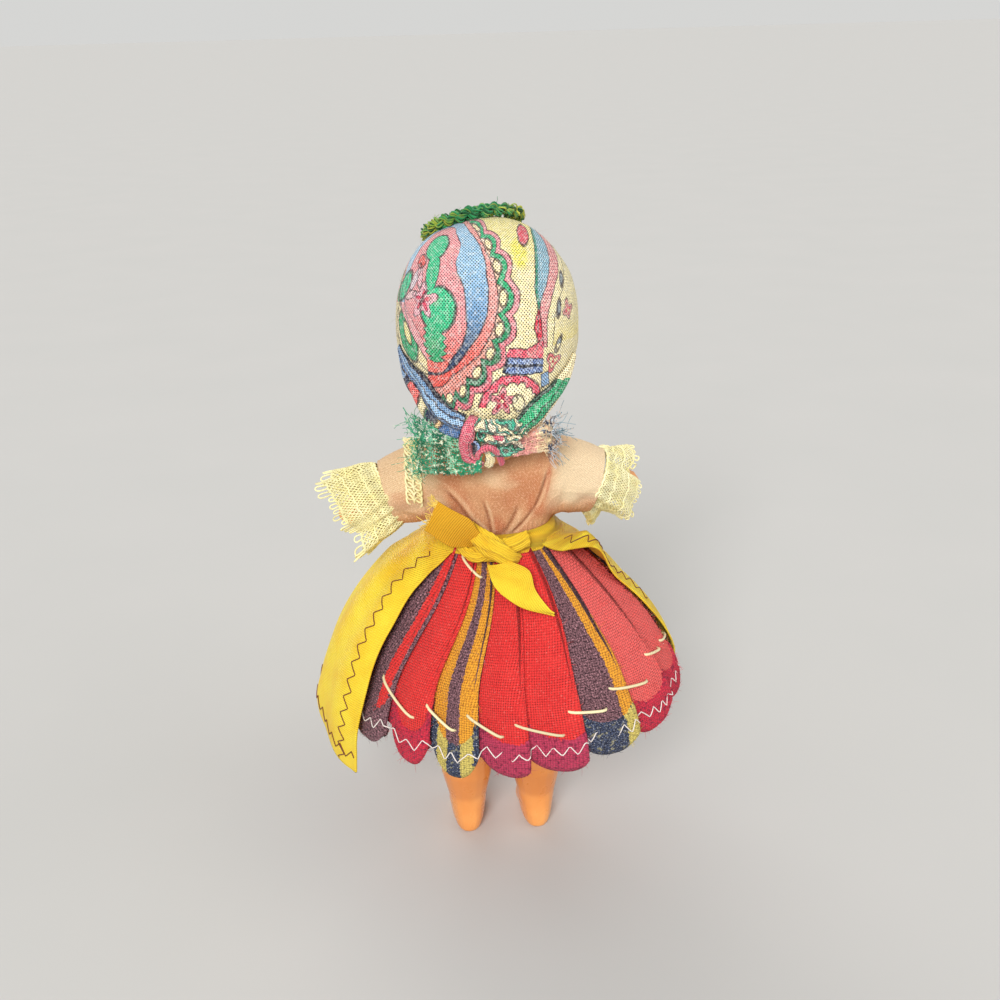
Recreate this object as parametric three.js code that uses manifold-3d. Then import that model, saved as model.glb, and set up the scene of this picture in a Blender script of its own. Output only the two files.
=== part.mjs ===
// A costume doll: a small strung plastic doll in a kerchief, blouse, pleated skirt and ribbon apron.
// Millimetres, +Z up. The doll faces -Y, its left side is +X, and its soles stand on z = 0.
import * as THREE from "three";
import { mergeVertices } from "three/addons/utils/BufferGeometryUtils.js";
import Module from "manifold-3d";

const wasm = await Module();
wasm.setup();

// Clearances and wall thicknesses
const SEAT_GAP = 0.3;
const SHELL_WALL = 1.1;
const BLOUSE_THICKNESS = 0.8;
const SKIRT_THICKNESS = 1.3;
const RIBBON_THICKNESS = 0.6;
const KERCHIEF_THICKNESS = 1.3;
const LACE_THICKNESS = 0.5;

// Torso
const HIP_HEIGHT = 66;
const WAIST_ABOVE_HIP = 21;
const NECK_ABOVE_HIP = 44;
const SHOULDER_BELOW_NECK = 9.5;
const SHOULDER_ABOVE_HIP = NECK_ABOVE_HIP - SHOULDER_BELOW_NECK;
const CROTCH_BELOW_HIP = 6;
const HIP_WIDTH = 15.8;
const WAIST_WIDTH = 12.6;
const WAIST_DEPTH = 9.4;
const SHOULDER_WIDTH = 15.2;
const CROTCH_HALF_THICKNESS = 2.2;

// Neck and head
const NECK_BALL_RADIUS = 5.6;
const HEAD_CENTRE_ABOVE_NECK = 27;
const HEAD_HALF_WIDTH = 19.3;
const HEAD_HALF_DEPTH = 19.6;
const HEAD_HALF_HEIGHT = 22;
const NOSE_LENGTH = 1.9;

// Arms, given for the left side before each is turned in its shoulder
const SHOULDER_SEAT = 14.4;
const SHOULDER_DISC_RADIUS = 5.4;
const SHOULDER_SEAT_RADIUS = 6.6;
const UPPER_ARM_RADIUS = 4.9;
const ELBOW_RADIUS = 4.1;
const WRIST_RADIUS = 3;
const HAND_HALF_WIDTH = 3.4;
const ARM_REACH = 23.5;
const ARM_DROP = 9.5;
const ARM_FORWARD = 10.5;
const LEFT_ARM_TURN = THREE.MathUtils.degToRad(14);
const RIGHT_ARM_TURN = THREE.MathUtils.degToRad(-6);

// Legs
const HIP_SPREAD = 10.4;
const HIP_BALL_RADIUS = 7.8;
const THIGH_RADIUS = 8;
const KNEE_RADIUS = 6.3;
const CALF_RADIUS = 6.9;
const ANKLE_RADIUS = 5;
const ANKLE_HEIGHT = 9.5;
const FOOT_SPREAD = 9.3;
const FOOT_FRONT = 12;
const FOOT_BACK = 7.6;
const FOOT_HALF_WIDTH = 5.7;
const ANKLE_BACK = 2;
const LEG_SWING = THREE.MathUtils.degToRad(40);

// Elastic stringing
const ELASTIC_RADIUS = 0.8;
const ELASTIC_CLEARANCE = 0.5;
const KNOT_RADIUS = 1.9;
const WASHER_RADIUS = 2.4;
const WASHER_THICKNESS = 0.7;
const WIRE_RADIUS = 0.5;

// Blouse
const SLEEVE_RADIUS = 8.6;
const SLEEVE_END_RADIUS = 7.8;
const SLEEVE_LENGTH = 10.6;
const SLEEVE_DROP = 3;
const BLOUSE_BOTTOM_BELOW_WAIST = 3;
const SHOULDER_LACE_WIDTH = 3.2;
const SHOULDER_LACE_FROM_SEAM = 3;
const CUFF_RUFFLES = 7;
const LEFT_CUFF_RADIUS = 12.2;
const LEFT_CUFF_REACH = new THREE.Vector3(11.5, -1.2, -4.6);
const RIGHT_CUFF_RADIUS = 10.2;
const RIGHT_CUFF_REACH = new THREE.Vector3(4.8, -7.8, -5);

// Skirt
const PLEAT_COUNT = 18;
const PLEAT_DEPTH = 2.2;
const PLEAT_PHASE = THREE.MathUtils.degToRad(12);
const HEM_HEIGHT = 42.4;
const HEM_HALF_WIDTH = 42;
const HEM_HALF_DEPTH = 39.2;
const HEM_SHIFT_RIGHT = 1.6;
const HEM_SHIFT_BACK = 0.6;
const HEM_PETAL = 2.8;
const SKIRT_TOP_BELOW_WAIST = 1;

// Apron
const WAISTBAND_HEIGHT = 3.6;
const APRON_FRONT_HEIGHT = 42.5;
const APRON_CORNER_DROP = 7.5;
const APRON_FLARE = 3.4;
const APRON_FLARE_ANGLE = 82;
const APRON_FLARE_SPREAD = 40;
const APRON_GATHERS = 11;
const APRON_GATHER_DEPTH = 1;
const APRON_EASE = 0.9;
const BOW_KNOT_WIDTH = 5.2;
const TAIL_WIDTH = 8.5;
const UPPER_TAIL_LENGTH = 16;
const LOWER_TAIL_LENGTH = 18;

// Kerchief and head ring
const CROWN_GAP = 0.7;
const NAPE_DRAPE = 3.6;
const KERCHIEF_BAND_WIDTH = 8;
const KERCHIEF_BAND_THICKNESS = 1.6;
const KERCHIEF_RIM_SET_BACK = 3.8;
const KERCHIEF_KNOT_RADIUS = 4.6;
const KERCHIEF_END_FOLD = 0.8;
const LEFT_END_LENGTH = 14;
const LEFT_END_HALF_SPREAD = 6.2;
const LEFT_END_CLIMB = -0.5;
const RIGHT_END_LENGTH = 11.5;
const RIGHT_END_HALF_SPREAD = 3.8;
const RIGHT_END_CLIMB = -1.4;
const RING_OUTER_RADIUS = 11.6;
const RING_TUBE_RADIUS = 1.8;
const RING_TILT = THREE.MathUtils.degToRad(22);
const RING_ROLL = THREE.MathUtils.degToRad(8);

// Heights worked out from the driving sizes
const WAIST_HEIGHT = HIP_HEIGHT + WAIST_ABOVE_HIP;
const SHOULDER_HEIGHT = HIP_HEIGHT + SHOULDER_ABOVE_HIP;
const NECK_HEIGHT = HIP_HEIGHT + NECK_ABOVE_HIP;
const HEAD_HEIGHT = NECK_HEIGHT + HEAD_CENTRE_ABOVE_NECK;
const SKIRT_TOP = WAIST_HEIGHT - SKIRT_TOP_BELOW_WAIST;

// Materials
function material(color, roughness, metalness = 0) {
  return new THREE.MeshStandardMaterial({ color, roughness, metalness });
}
const SKIN_PLASTIC = material(0xf0a060, 0.32);
const ELASTIC_CORD = material(0xe8dcc4, 0.8);
const WIRE = material(0x9a9a98, 0.35, 0.9);
const BLOUSE_COTTON = material(0xd9a583, 0.9);
const LACE = material(0xf0e29a, 0.95);
const SKIRT_WOOL = material(0xc8202a, 1);
const APRON_RIBBON = material(0xf2bc1c, 0.55);
const KERCHIEF_PRINT = material(0xd9a08c, 0.9);
const RING_YARN = material(0x5f9a3c, 1);

// Solids and surfaces
const TURN = Math.PI * 2;
const lerp = THREE.MathUtils.lerp;
const smoothstep = THREE.MathUtils.smoothstep;

function signedVolume(geometry) {
  const p = geometry.getAttribute("position");
  const index = geometry.index.array;
  const corner = [new THREE.Vector3(), new THREE.Vector3(), new THREE.Vector3()];
  let volume = 0;
  for (let i = 0; i < index.length; i += 3) {
    corner.forEach((c, k) => c.fromBufferAttribute(p, index[i + k]));
    volume += corner[0].dot(corner[1].cross(corner[2])) / 6;
  }
  return volume;
}

// Turns the faces round where they point inwards.
function facingOut(geometry) {
  if (signedVolume(geometry) > 0) return geometry;
  const index = geometry.index.array;
  for (let i = 0; i < index.length; i += 3) [index[i + 1], index[i + 2]] = [index[i + 2], index[i + 1]];
  return geometry;
}

function indexedGeometry(points, index) {
  const geometry = new THREE.BufferGeometry().setFromPoints(points);
  geometry.setIndex(index);
  return facingOut(geometry);
}

// A closed skin through rings with the same number of points, its two ends closed by fans.
function loft(rings) {
  const count = rings[0].length;
  const points = rings.flat();
  const index = [];
  for (let r = 0; r + 1 < rings.length; r++)
    for (let i = 0; i < count; i++) {
      const a = r * count + i;
      const b = r * count + ((i + 1) % count);
      index.push(a, b, b + count, a, b + count, a + count);
    }
  const closeEnd = (ring, start, forwards) => {
    const middle = ring.reduce((sum, p) => sum.add(p), new THREE.Vector3()).divideScalar(count);
    const centre = points.push(middle) - 1;
    for (let i = 0; i < count; i++) {
      const a = start + i;
      const b = start + ((i + 1) % count);
      index.push(...(forwards ? [centre, a, b] : [centre, b, a]));
    }
  };
  closeEnd(rings[0], 0, false);
  closeEnd(rings.at(-1), (rings.length - 1) * count, true);
  return indexedGeometry(points, index);
}

// A closed sheet between two surfaces over u and v from 0 to 1. A wrapped sheet joins u = 1 to u = 0.
function sheet(outer, inner, columns, rows, wrapped) {
  const across = wrapped ? columns : columns + 1;
  const points = [];
  for (const surface of [outer, inner])
    for (let j = 0; j <= rows; j++)
      for (let i = 0; i < across; i++) points.push(surface(i / columns, j / rows));
  const at = (side, i, j) => (side * (rows + 1) + j) * across + (i % across);
  const index = [];
  const quad = (a, b, c, d) => index.push(a, b, c, a, c, d);
  for (let i = 0; i < columns; i++) {
    for (let j = 0; j < rows; j++) {
      quad(at(0, i, j), at(0, i + 1, j), at(0, i + 1, j + 1), at(0, i, j + 1));
      quad(at(1, i, j), at(1, i, j + 1), at(1, i + 1, j + 1), at(1, i + 1, j));
    }
    quad(at(1, i, 0), at(1, i + 1, 0), at(0, i + 1, 0), at(0, i, 0));
    quad(at(0, i, rows), at(0, i + 1, rows), at(1, i + 1, rows), at(1, i, rows));
  }
  if (!wrapped)
    for (let j = 0; j < rows; j++) {
      quad(at(0, 0, j), at(0, 0, j + 1), at(1, 0, j + 1), at(1, 0, j));
      quad(at(1, columns, j), at(1, columns, j + 1), at(0, columns, j + 1), at(0, columns, j));
    }
  return indexedGeometry(points, index);
}

function solidOf(geometry) {
  const bare = new THREE.BufferGeometry();
  bare.setAttribute("position", geometry.getAttribute("position").clone());
  if (geometry.index) bare.setIndex(geometry.index.clone());
  const merged = mergeVertices(bare, 1e-4);
  const vertProperties = merged.attributes.position.array;
  const triVerts = new Uint32Array(merged.index.array);
  return new wasm.Manifold(new wasm.Mesh({ numProp: 3, vertProperties, triVerts }));
}

function geometryOf(solid) {
  const mesh = solid.getMesh();
  const geometry = new THREE.BufferGeometry();
  geometry.setAttribute("position", new THREE.BufferAttribute(mesh.vertProperties, 3));
  geometry.setIndex(new THREE.BufferAttribute(mesh.triVerts, 1));
  return geometry;
}

function without(first, ...cuts) {
  return geometryOf(cuts.reduce((solid, cut) => solid.subtract(solidOf(cut)), solidOf(first)));
}

function joined(first, ...more) {
  return geometryOf(more.reduce((solid, other) => solid.add(solidOf(other)), solidOf(first)));
}

// A cylinder along X from one x to another.
function rodAlongX(radius, from, to, y = 0, z = 0, sides = 20) {
  return new THREE.CylinderGeometry(radius, radius, Math.abs(to - from), sides)
    .rotateZ(Math.PI / 2)
    .translate((from + to) / 2, y, z);
}

// A body of revolution about the X axis from [x, radius] pairs.
function turnedAboutX(profile, sides) {
  const points = profile.map(([x, radius]) => new THREE.Vector2(radius, x));
  return new THREE.LatheGeometry(points, sides).rotateZ(-Math.PI / 2);
}

// A smooth value through [place, value] pairs.
function track(pairs) {
  const points = pairs.map(([place, value]) => new THREE.Vector3(place, value, 0));
  const samples = new THREE.CatmullRomCurve3(points, false, "centripetal").getPoints(pairs.length * 12);
  return (s) => {
    const next = samples.findIndex((p) => p.x >= s);
    if (next < 0) return samples.at(-1).y;
    if (next === 0) return samples[0].y;
    const a = samples[next - 1];
    const b = samples[next];
    return lerp(a.y, b.y, (s - a.x) / Math.max(b.x - a.x, 1e-9));
  };
}

// A point of a rounded outline about the Z axis, by the angle from the back (+Y) towards +X.
function outlinePoint(angle, z, width, front, back, squareness) {
  const squared = (s) => Math.sign(s) * Math.abs(s) ** (2 / squareness);
  const depth = Math.cos(angle) > 0 ? back : front;
  return new THREE.Vector3(width * squared(Math.sin(angle)), depth * squared(Math.cos(angle)), z);
}

const BODY_SQUARENESS = 2.3;

// A ring of that outline, with its own half depth in front (-Y) and behind (+Y).
function bodyRing(z, width, front, back, count, squareness = BODY_SQUARENESS) {
  return Array.from({ length: count }, (_, i) =>
    outlinePoint((-i / count) * TURN, z, width, front, back, squareness),
  );
}

// Torso outline by height, shared by the torso, its hollow, the blouse and the waistband
const torsoWidth = track([
  [-CROTCH_BELOW_HIP, HIP_WIDTH * 0.5],
  [0, HIP_WIDTH * 0.86],
  [WAIST_ABOVE_HIP * 0.4, HIP_WIDTH],
  [WAIST_ABOVE_HIP, WAIST_WIDTH],
  [SHOULDER_ABOVE_HIP - 5, SHOULDER_WIDTH * 0.93],
  [SHOULDER_ABOVE_HIP, SHOULDER_WIDTH],
  [SHOULDER_ABOVE_HIP + 4.5, SHOULDER_WIDTH * 0.86],
  [NECK_ABOVE_HIP, NECK_BALL_RADIUS + 1.8],
]);
const torsoFront = track([
  [-CROTCH_BELOW_HIP, WAIST_DEPTH * 0.55],
  [0, WAIST_DEPTH * 0.93],
  [WAIST_ABOVE_HIP * 0.6, WAIST_DEPTH * 1.12],
  [WAIST_ABOVE_HIP, WAIST_DEPTH],
  [SHOULDER_ABOVE_HIP, WAIST_DEPTH * 0.88],
  [NECK_ABOVE_HIP, NECK_BALL_RADIUS + 1.4],
]);
const torsoBack = track([
  [-CROTCH_BELOW_HIP, WAIST_DEPTH * 0.6],
  [WAIST_ABOVE_HIP * 0.3, WAIST_DEPTH * 1.14],
  [WAIST_ABOVE_HIP, WAIST_DEPTH * 0.94],
  [SHOULDER_ABOVE_HIP, WAIST_DEPTH * 0.9],
  [NECK_ABOVE_HIP, NECK_BALL_RADIUS + 1.4],
]);

// A loft of the torso's own outline, grown or shrunk by an offset, between two heights above the hips.
function torsoForm(offset, from, to, rings, count = 22) {
  const levels = Array.from({ length: rings }, (_, i) => lerp(from, to, i / (rings - 1)));
  return loft(
    levels.map((h) => {
      const reaches = [torsoWidth(h), torsoFront(h), torsoBack(h)].map((reach) => reach + offset);
      return bodyRing(HIP_HEIGHT + h, ...reaches, count);
    }),
  );
}

function torsoGeometry() {
  const form = torsoForm(0, -CROTCH_BELOW_HIP, NECK_ABOVE_HIP, 11);
  const socketRadius = NECK_BALL_RADIUS + SEAT_GAP;
  const cavityTop = NECK_ABOVE_HIP - socketRadius - SHELL_WALL;
  const cavity = torsoForm(-SHELL_WALL, HIP_BALL_RADIUS + SHELL_WALL * 2, cavityTop, 5, 14);
  const neckSocket = new THREE.SphereGeometry(socketRadius, 16, 10).translate(0, 0, NECK_HEIGHT);
  const hookHole = new THREE.CylinderGeometry(
    WIRE_RADIUS + ELASTIC_CLEARANCE,
    WIRE_RADIUS + ELASTIC_CLEARANCE,
    socketRadius * 2,
    12,
  )
    .rotateX(Math.PI / 2)
    .translate(0, 0, NECK_HEIGHT - socketRadius);
  const holeRadius = ELASTIC_RADIUS + ELASTIC_CLEARANCE;
  const beyond = HIP_WIDTH * 2;
  const cuts = [cavity, neckSocket, hookHole, rodAlongX(holeRadius, -beyond, beyond, 0, HIP_HEIGHT, 12)];
  cuts.push(rodAlongX(holeRadius, -beyond, beyond, 0, SHOULDER_HEIGHT, 12));
  for (const side of [-1, 1]) {
    cuts.push(rodAlongX(SHOULDER_SEAT_RADIUS, side * SHOULDER_SEAT, side * beyond, 0, SHOULDER_HEIGHT, 16));
    cuts.push(
      new THREE.SphereGeometry(HIP_BALL_RADIUS + SEAT_GAP, 16, 10)
        .rotateZ(Math.PI / 2)
        .translate(side * HIP_SPREAD, 0, HIP_HEIGHT),
    );
    const besideCrotch = new THREE.BoxGeometry(beyond, beyond, beyond);
    besideCrotch.translate(side * (beyond / 2 + CROTCH_HALF_THICKNESS), 0, HIP_HEIGHT - beyond / 2);
    cuts.push(besideCrotch);
    for (const swing of [-1, -0.5, 0.5, 1]) {
      const radius = THIGH_RADIUS + SEAT_GAP;
      const thigh = uprightCylinder(radius, radius, -THIGH_RADIUS * 2, 0, 16);
      cuts.push(thigh.rotateX(swing * LEG_SWING).translate(side * HIP_SPREAD, 0, HIP_HEIGHT));
    }
  }
  return without(form, ...cuts);
}

// A cord along X with a knot at each end, behind a washer in each limb.
function limbElasticGeometry(washerFace) {
  const knotStart = washerFace + WASHER_THICKNESS + SEAT_GAP;
  const end = knotStart + KNOT_RADIUS * 2;
  const half = [
    [knotStart, ELASTIC_RADIUS],
    [knotStart + 0.05, KNOT_RADIUS * 0.75],
    [knotStart + KNOT_RADIUS, KNOT_RADIUS],
    [end - KNOT_RADIUS * 0.4, KNOT_RADIUS * 0.7],
    [end, 0],
  ];
  const otherHalf = half.map(([x, r]) => [-x, r]).reverse();
  return facingOutLathe(turnedAboutX([...otherHalf, ...half], 12));
}

// A lathe's seam and poles merged, with its faces pointing out.
function facingOutLathe(geometry) {
  const bare = new THREE.BufferGeometry().setAttribute("position", geometry.getAttribute("position"));
  bare.setIndex(geometry.index);
  return facingOut(mergeVertices(bare, 1e-4));
}

function washerGeometry() {
  const bore = ELASTIC_RADIUS + SEAT_GAP;
  return facingOutLathe(
    turnedAboutX(
      [
        [0, bore],
        [0, WASHER_RADIUS],
        [WASHER_THICKNESS, WASHER_RADIUS],
        [WASHER_THICKNESS, bore],
        [0, bore],
      ],
      14,
    ),
  );
}

// The wire hook that holds the head: a button inside the neck, a shank, and a hook round the arm elastic.
function neckHookGeometry() {
  const wire = new THREE.Shape().absarc(0, 0, WIRE_RADIUS, 0, TURN);
  const bend = ELASTIC_RADIUS + SEAT_GAP + WIRE_RADIUS;
  const buttonDrop = Math.sqrt((NECK_BALL_RADIUS - SHELL_WALL) ** 2 - (WASHER_RADIUS + SEAT_GAP) ** 2);
  const buttonFace = NECK_HEIGHT - buttonDrop;
  const points = [new THREE.Vector3(0, 0, buttonFace + 0.4)];
  const hookTurns = 10;
  for (let i = 0; i <= hookTurns; i++) {
    const angle = Math.PI / 2 - (i / hookTurns) * TURN * 0.8;
    points.push(new THREE.Vector3(0, bend * Math.cos(angle), SHOULDER_HEIGHT + bend * Math.sin(angle)));
  }
  const path = new THREE.CatmullRomCurve3(points, false, "centripetal");
  const hook = new THREE.ExtrudeGeometry(wire, { steps: 16, curveSegments: 3, extrudePath: path });
  const button = new THREE.CylinderGeometry(WASHER_RADIUS, WASHER_RADIUS, WASHER_THICKNESS, 14);
  button.rotateX(Math.PI / 2).translate(0, 0, buttonFace + WASHER_THICKNESS / 2);
  return joined(button, hook);
}

// Head, about its own centre
function bump(x, z, atX, atZ, width, height) {
  return Math.exp(-(((x - atX) / width) ** 2) - ((z - atZ) / height) ** 2);
}

// How far the face stands in or out of the plain head form at x and z.
function faceRelief(x, z) {
  const eyeSpread = HEAD_HALF_WIDTH * 0.38;
  const side = Math.abs(x);
  const nose = NOSE_LENGTH * bump(x, z, 0, -4.6, 1.7, 2.3);
  const sockets = -0.9 * bump(side, z, eyeSpread, -1.2, 3.4, 2.2);
  const cheeks = 1.3 * bump(side, z, HEAD_HALF_WIDTH * 0.48, -8.5, 5, 4.4);
  const lips = 0.7 * bump(x, z, 0, -9.4, 2.2, 1.1) + 0.5 * bump(x, z, 0, -11, 1.8, 0.9);
  const chin = 1.1 * bump(x, z, 0, -15.2, 4, 2.8);
  return nose + sockets + cheeks + lips + chin;
}

function headPoint(azimuth, polar, offset) {
  const direction = new THREE.Vector3(
    Math.sin(polar) * Math.cos(azimuth),
    Math.sin(polar) * Math.sin(azimuth),
    Math.cos(polar),
  );
  const jaw = direction.z < 0 ? 1 - 0.1 * direction.z ** 2 : 1;
  const p = new THREE.Vector3(
    direction.x * (HEAD_HALF_WIDTH + offset) * jaw,
    direction.y * (HEAD_HALF_DEPTH + offset),
    direction.z * (HEAD_HALF_HEIGHT + offset),
  );
  p.y -= faceRelief(p.x, p.z) * smoothstep(-direction.y, 0.25, 0.75);
  return p;
}

// Columns are closer together across the face, and rings at its eyes and mouth.
function headForm(offset, columns, rows) {
  const crowding = 0.09;
  const crowdedAt = 0.1;
  const rings = [];
  for (let j = 1; j < rows; j++) {
    const s = j / rows;
    const shift = Math.sin(TURN * (s - crowdedAt)) + Math.sin(TURN * crowdedAt);
    const polar = Math.PI * (s + crowding * shift);
    rings.push(
      Array.from({ length: columns }, (_, i) => {
        const t = (i / columns) * TURN - Math.PI;
        return headPoint(-Math.PI / 2 + t - 0.6 * Math.sin(t), polar, offset);
      }),
    );
  }
  return loft(rings);
}

function uprightCylinder(radiusTop, radiusBottom, from, to, sides) {
  return new THREE.CylinderGeometry(radiusTop, radiusBottom, to - from, sides)
    .rotateX(Math.PI / 2)
    .translate(0, 0, (from + to) / 2);
}

function headGeometry() {
  const neckLow = -HEAD_CENTRE_ABOVE_NECK;
  const bore = NECK_BALL_RADIUS - SHELL_WALL;
  const neckTop = -HEAD_HALF_HEIGHT * 0.55;
  const neck = uprightCylinder(NECK_BALL_RADIUS - 0.6, NECK_BALL_RADIUS, neckLow, neckTop, 16);
  const ball = new THREE.SphereGeometry(NECK_BALL_RADIUS, 16, 10).translate(0, 0, neckLow);
  const outside = joined(headForm(0, 32, 17), neck, ball);
  const neckBore = uprightCylinder(bore, bore, neckLow, neckTop + 4, 12);
  const ballBore = new THREE.SphereGeometry(bore, 12, 8).translate(0, 0, neckLow);
  const shankRadius = WIRE_RADIUS + ELASTIC_CLEARANCE;
  const shankLow = neckLow - NECK_BALL_RADIUS - 1;
  const shankHole = uprightCylinder(shankRadius, shankRadius, shankLow, neckLow - 2, 10);
  return without(outside, headForm(-SHELL_WALL * 2, 14, 9), neckBore, ballBore, shankHole);
}

// Arms, about the shoulder centre, for the doll's left side
const armLinePoints = [
  [0, 0, 0],
  [0.15, 0, 0.12],
  [0.33, 0, 0.4],
  [0.48, 0.1, 0.58],
  [0.62, 0.32, 0.7],
  [0.75, 0.52, 0.79],
  [0.88, 0.76, 0.9],
  [1, 1, 1],
].map(([out, forward, down]) => new THREE.Vector3(out * ARM_REACH, -forward * ARM_FORWARD, -down * ARM_DROP));
const ARM_LINE = new THREE.CatmullRomCurve3(armLinePoints, false, "centripetal");
const ELBOW = 0.45;
const WRIST = 0.76;

// A ring square to the arm's line, with its own width and thickness.
function armRing(place, halfWidth, halfThickness, count) {
  const centre = ARM_LINE.getPointAt(place);
  const along = ARM_LINE.getTangentAt(place);
  if (place < 0.08) along.set(1, 0, 0);
  const side = new THREE.Vector3(0, 0, 1).cross(along).normalize();
  const over = along.clone().cross(side).normalize();
  return Array.from({ length: count }, (_, i) => {
    const angle = (i / count) * TURN;
    return centre
      .clone()
      .addScaledVector(side, Math.cos(angle) * halfThickness)
      .addScaledVector(over, Math.sin(angle) * halfWidth);
  });
}

const armWidth = track([
  [0, SHOULDER_DISC_RADIUS],
  [0.15, UPPER_ARM_RADIUS * 1.04],
  [ELBOW, ELBOW_RADIUS],
  [ELBOW + 0.14, ELBOW_RADIUS * 0.98],
  [WRIST, WRIST_RADIUS],
  [0.87, HAND_HALF_WIDTH],
  [0.96, HAND_HALF_WIDTH * 0.8],
  [1, HAND_HALF_WIDTH * 0.4],
]);
const armThickness = track([
  [0, SHOULDER_DISC_RADIUS],
  [0.15, UPPER_ARM_RADIUS * 1.04],
  [ELBOW, ELBOW_RADIUS],
  [ELBOW + 0.14, ELBOW_RADIUS * 0.98],
  [WRIST, WRIST_RADIUS * 0.92],
  [0.87, HAND_HALF_WIDTH * 0.55],
  [1, HAND_HALF_WIDTH * 0.25],
]);

function armForm(shrink, from, to, rings, count) {
  return loft(
    Array.from({ length: rings }, (_, i) => {
      const place = lerp(from, to, i / (rings - 1));
      return armRing(place, armWidth(place) - shrink, armThickness(place) - shrink, count);
    }),
  );
}

function armGeometry() {
  const root = ARM_LINE.getPointAt(WRIST + 0.08);
  const thumb = new THREE.SphereGeometry(1, 8, 6).scale(1.1, 2.5, 1.15);
  thumb.rotateX(THREE.MathUtils.degToRad(20)).rotateZ(THREE.MathUtils.degToRad(35));
  thumb.translate(root.x, root.y - 1.2, root.z + HAND_HALF_WIDTH * 0.85);
  const outside = joined(armForm(0, 0, 1, 13, 12), thumb);
  const hollow = armForm(SHELL_WALL, SHELL_WALL / ARM_LINE.getLength(), ELBOW + 0.1, 5, 10);
  const hole = rodAlongX(ELASTIC_RADIUS + ELASTIC_CLEARANCE, -2, 2.4, 0, 0, 10);
  return without(outside, hollow, hole);
}

// Legs, about the hip centre, for the doll's left side
const LEG_DROP = HIP_HEIGHT - ANKLE_HEIGHT;
const legWidth = track([
  [0, ANKLE_RADIUS],
  [0.07, ANKLE_RADIUS * 1.22],
  [0.16, CALF_RADIUS],
  [0.3, CALF_RADIUS * 0.98],
  [0.47, KNEE_RADIUS],
  [0.68, THIGH_RADIUS * 0.93],
  [0.88, THIGH_RADIUS],
  [1, HIP_BALL_RADIUS * 0.96],
]);
const legFront = track([
  [0, ANKLE_RADIUS * 0.96],
  [0.2, CALF_RADIUS * 0.78],
  [0.44, KNEE_RADIUS * 1.02],
  [0.7, THIGH_RADIUS * 0.95],
  [1, HIP_BALL_RADIUS * 0.95],
]);
const legBack = track([
  [0, ANKLE_RADIUS],
  [0.22, CALF_RADIUS * 1.1],
  [0.46, KNEE_RADIUS * 0.95],
  [0.7, THIGH_RADIUS * 0.92],
  [1, HIP_BALL_RADIUS * 0.95],
]);

// One level section of the foot: its heel is narrower than its toes.
function footRing(z, front, back, width, count) {
  const ring = bodyRing(z - HIP_HEIGHT, 1, 1, 1, count, 2.5);
  for (const p of ring) {
    const forward = -p.y;
    const spread = width * lerp(0.88, 1.04, smoothstep(forward, -1, 0.8));
    const inward = forward > 0 ? 0.6 * forward ** 2 : 0;
    p.y = forward > 0 ? -forward * front : -forward * back;
    p.x = FOOT_SPREAD - HIP_SPREAD + p.x * spread - inward;
  }
  return ring;
}

function legRings(shrink, lowest, highest, levels, count) {
  return Array.from({ length: levels }, (_, i) => {
    const share = lerp(lowest, highest, i / (levels - 1));
    const z = ANKLE_HEIGHT + share * LEG_DROP - HIP_HEIGHT;
    const reaches = [legWidth(share), legFront(share), legBack(share)].map((reach) => reach - shrink);
    const ring = bodyRing(z, ...reaches, count, 2);
    const shift = (FOOT_SPREAD - HIP_SPREAD) * (1 - smoothstep(share, 0.1, 0.9));
    const back = ANKLE_BACK * (1 - smoothstep(share, 0, 0.75));
    ring.forEach((p) => p.set(p.x + shift, p.y + back, p.z));
    return ring;
  });
}

function legGeometry() {
  const count = 18;
  const foot = [
    footRing(0, FOOT_FRONT - 0.7, FOOT_BACK - 0.8, FOOT_HALF_WIDTH * 0.9, count),
    footRing(0.7, FOOT_FRONT - 0.1, FOOT_BACK - 0.2, FOOT_HALF_WIDTH * 0.99, count),
    footRing(ANKLE_HEIGHT * 0.22, FOOT_FRONT, FOOT_BACK, FOOT_HALF_WIDTH, count),
    footRing(ANKLE_HEIGHT * 0.4, FOOT_FRONT * 0.87, FOOT_BACK * 0.99, FOOT_HALF_WIDTH * 0.96, count),
    footRing(ANKLE_HEIGHT * 0.66, FOOT_FRONT * 0.5, FOOT_BACK * 0.93, FOOT_HALF_WIDTH * 0.9, count),
  ];
  const form = loft([...foot, ...legRings(0, 0, 1, 8, count)]);
  const ball = new THREE.SphereGeometry(HIP_BALL_RADIUS, 14, 10).rotateZ(Math.PI / 2);
  const hollow = loft(legRings(SHELL_WALL, 0.06, 1, 5, 10));
  const ballHollow = new THREE.SphereGeometry(HIP_BALL_RADIUS - SHELL_WALL, 12, 8).rotateZ(Math.PI / 2);
  const hole = rodAlongX(ELASTIC_RADIUS + ELASTIC_CLEARANCE, -HIP_BALL_RADIUS - 2, 0, 0, 0, 10);
  return without(joined(form, ball), hollow, ballHollow, hole);
}

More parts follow.
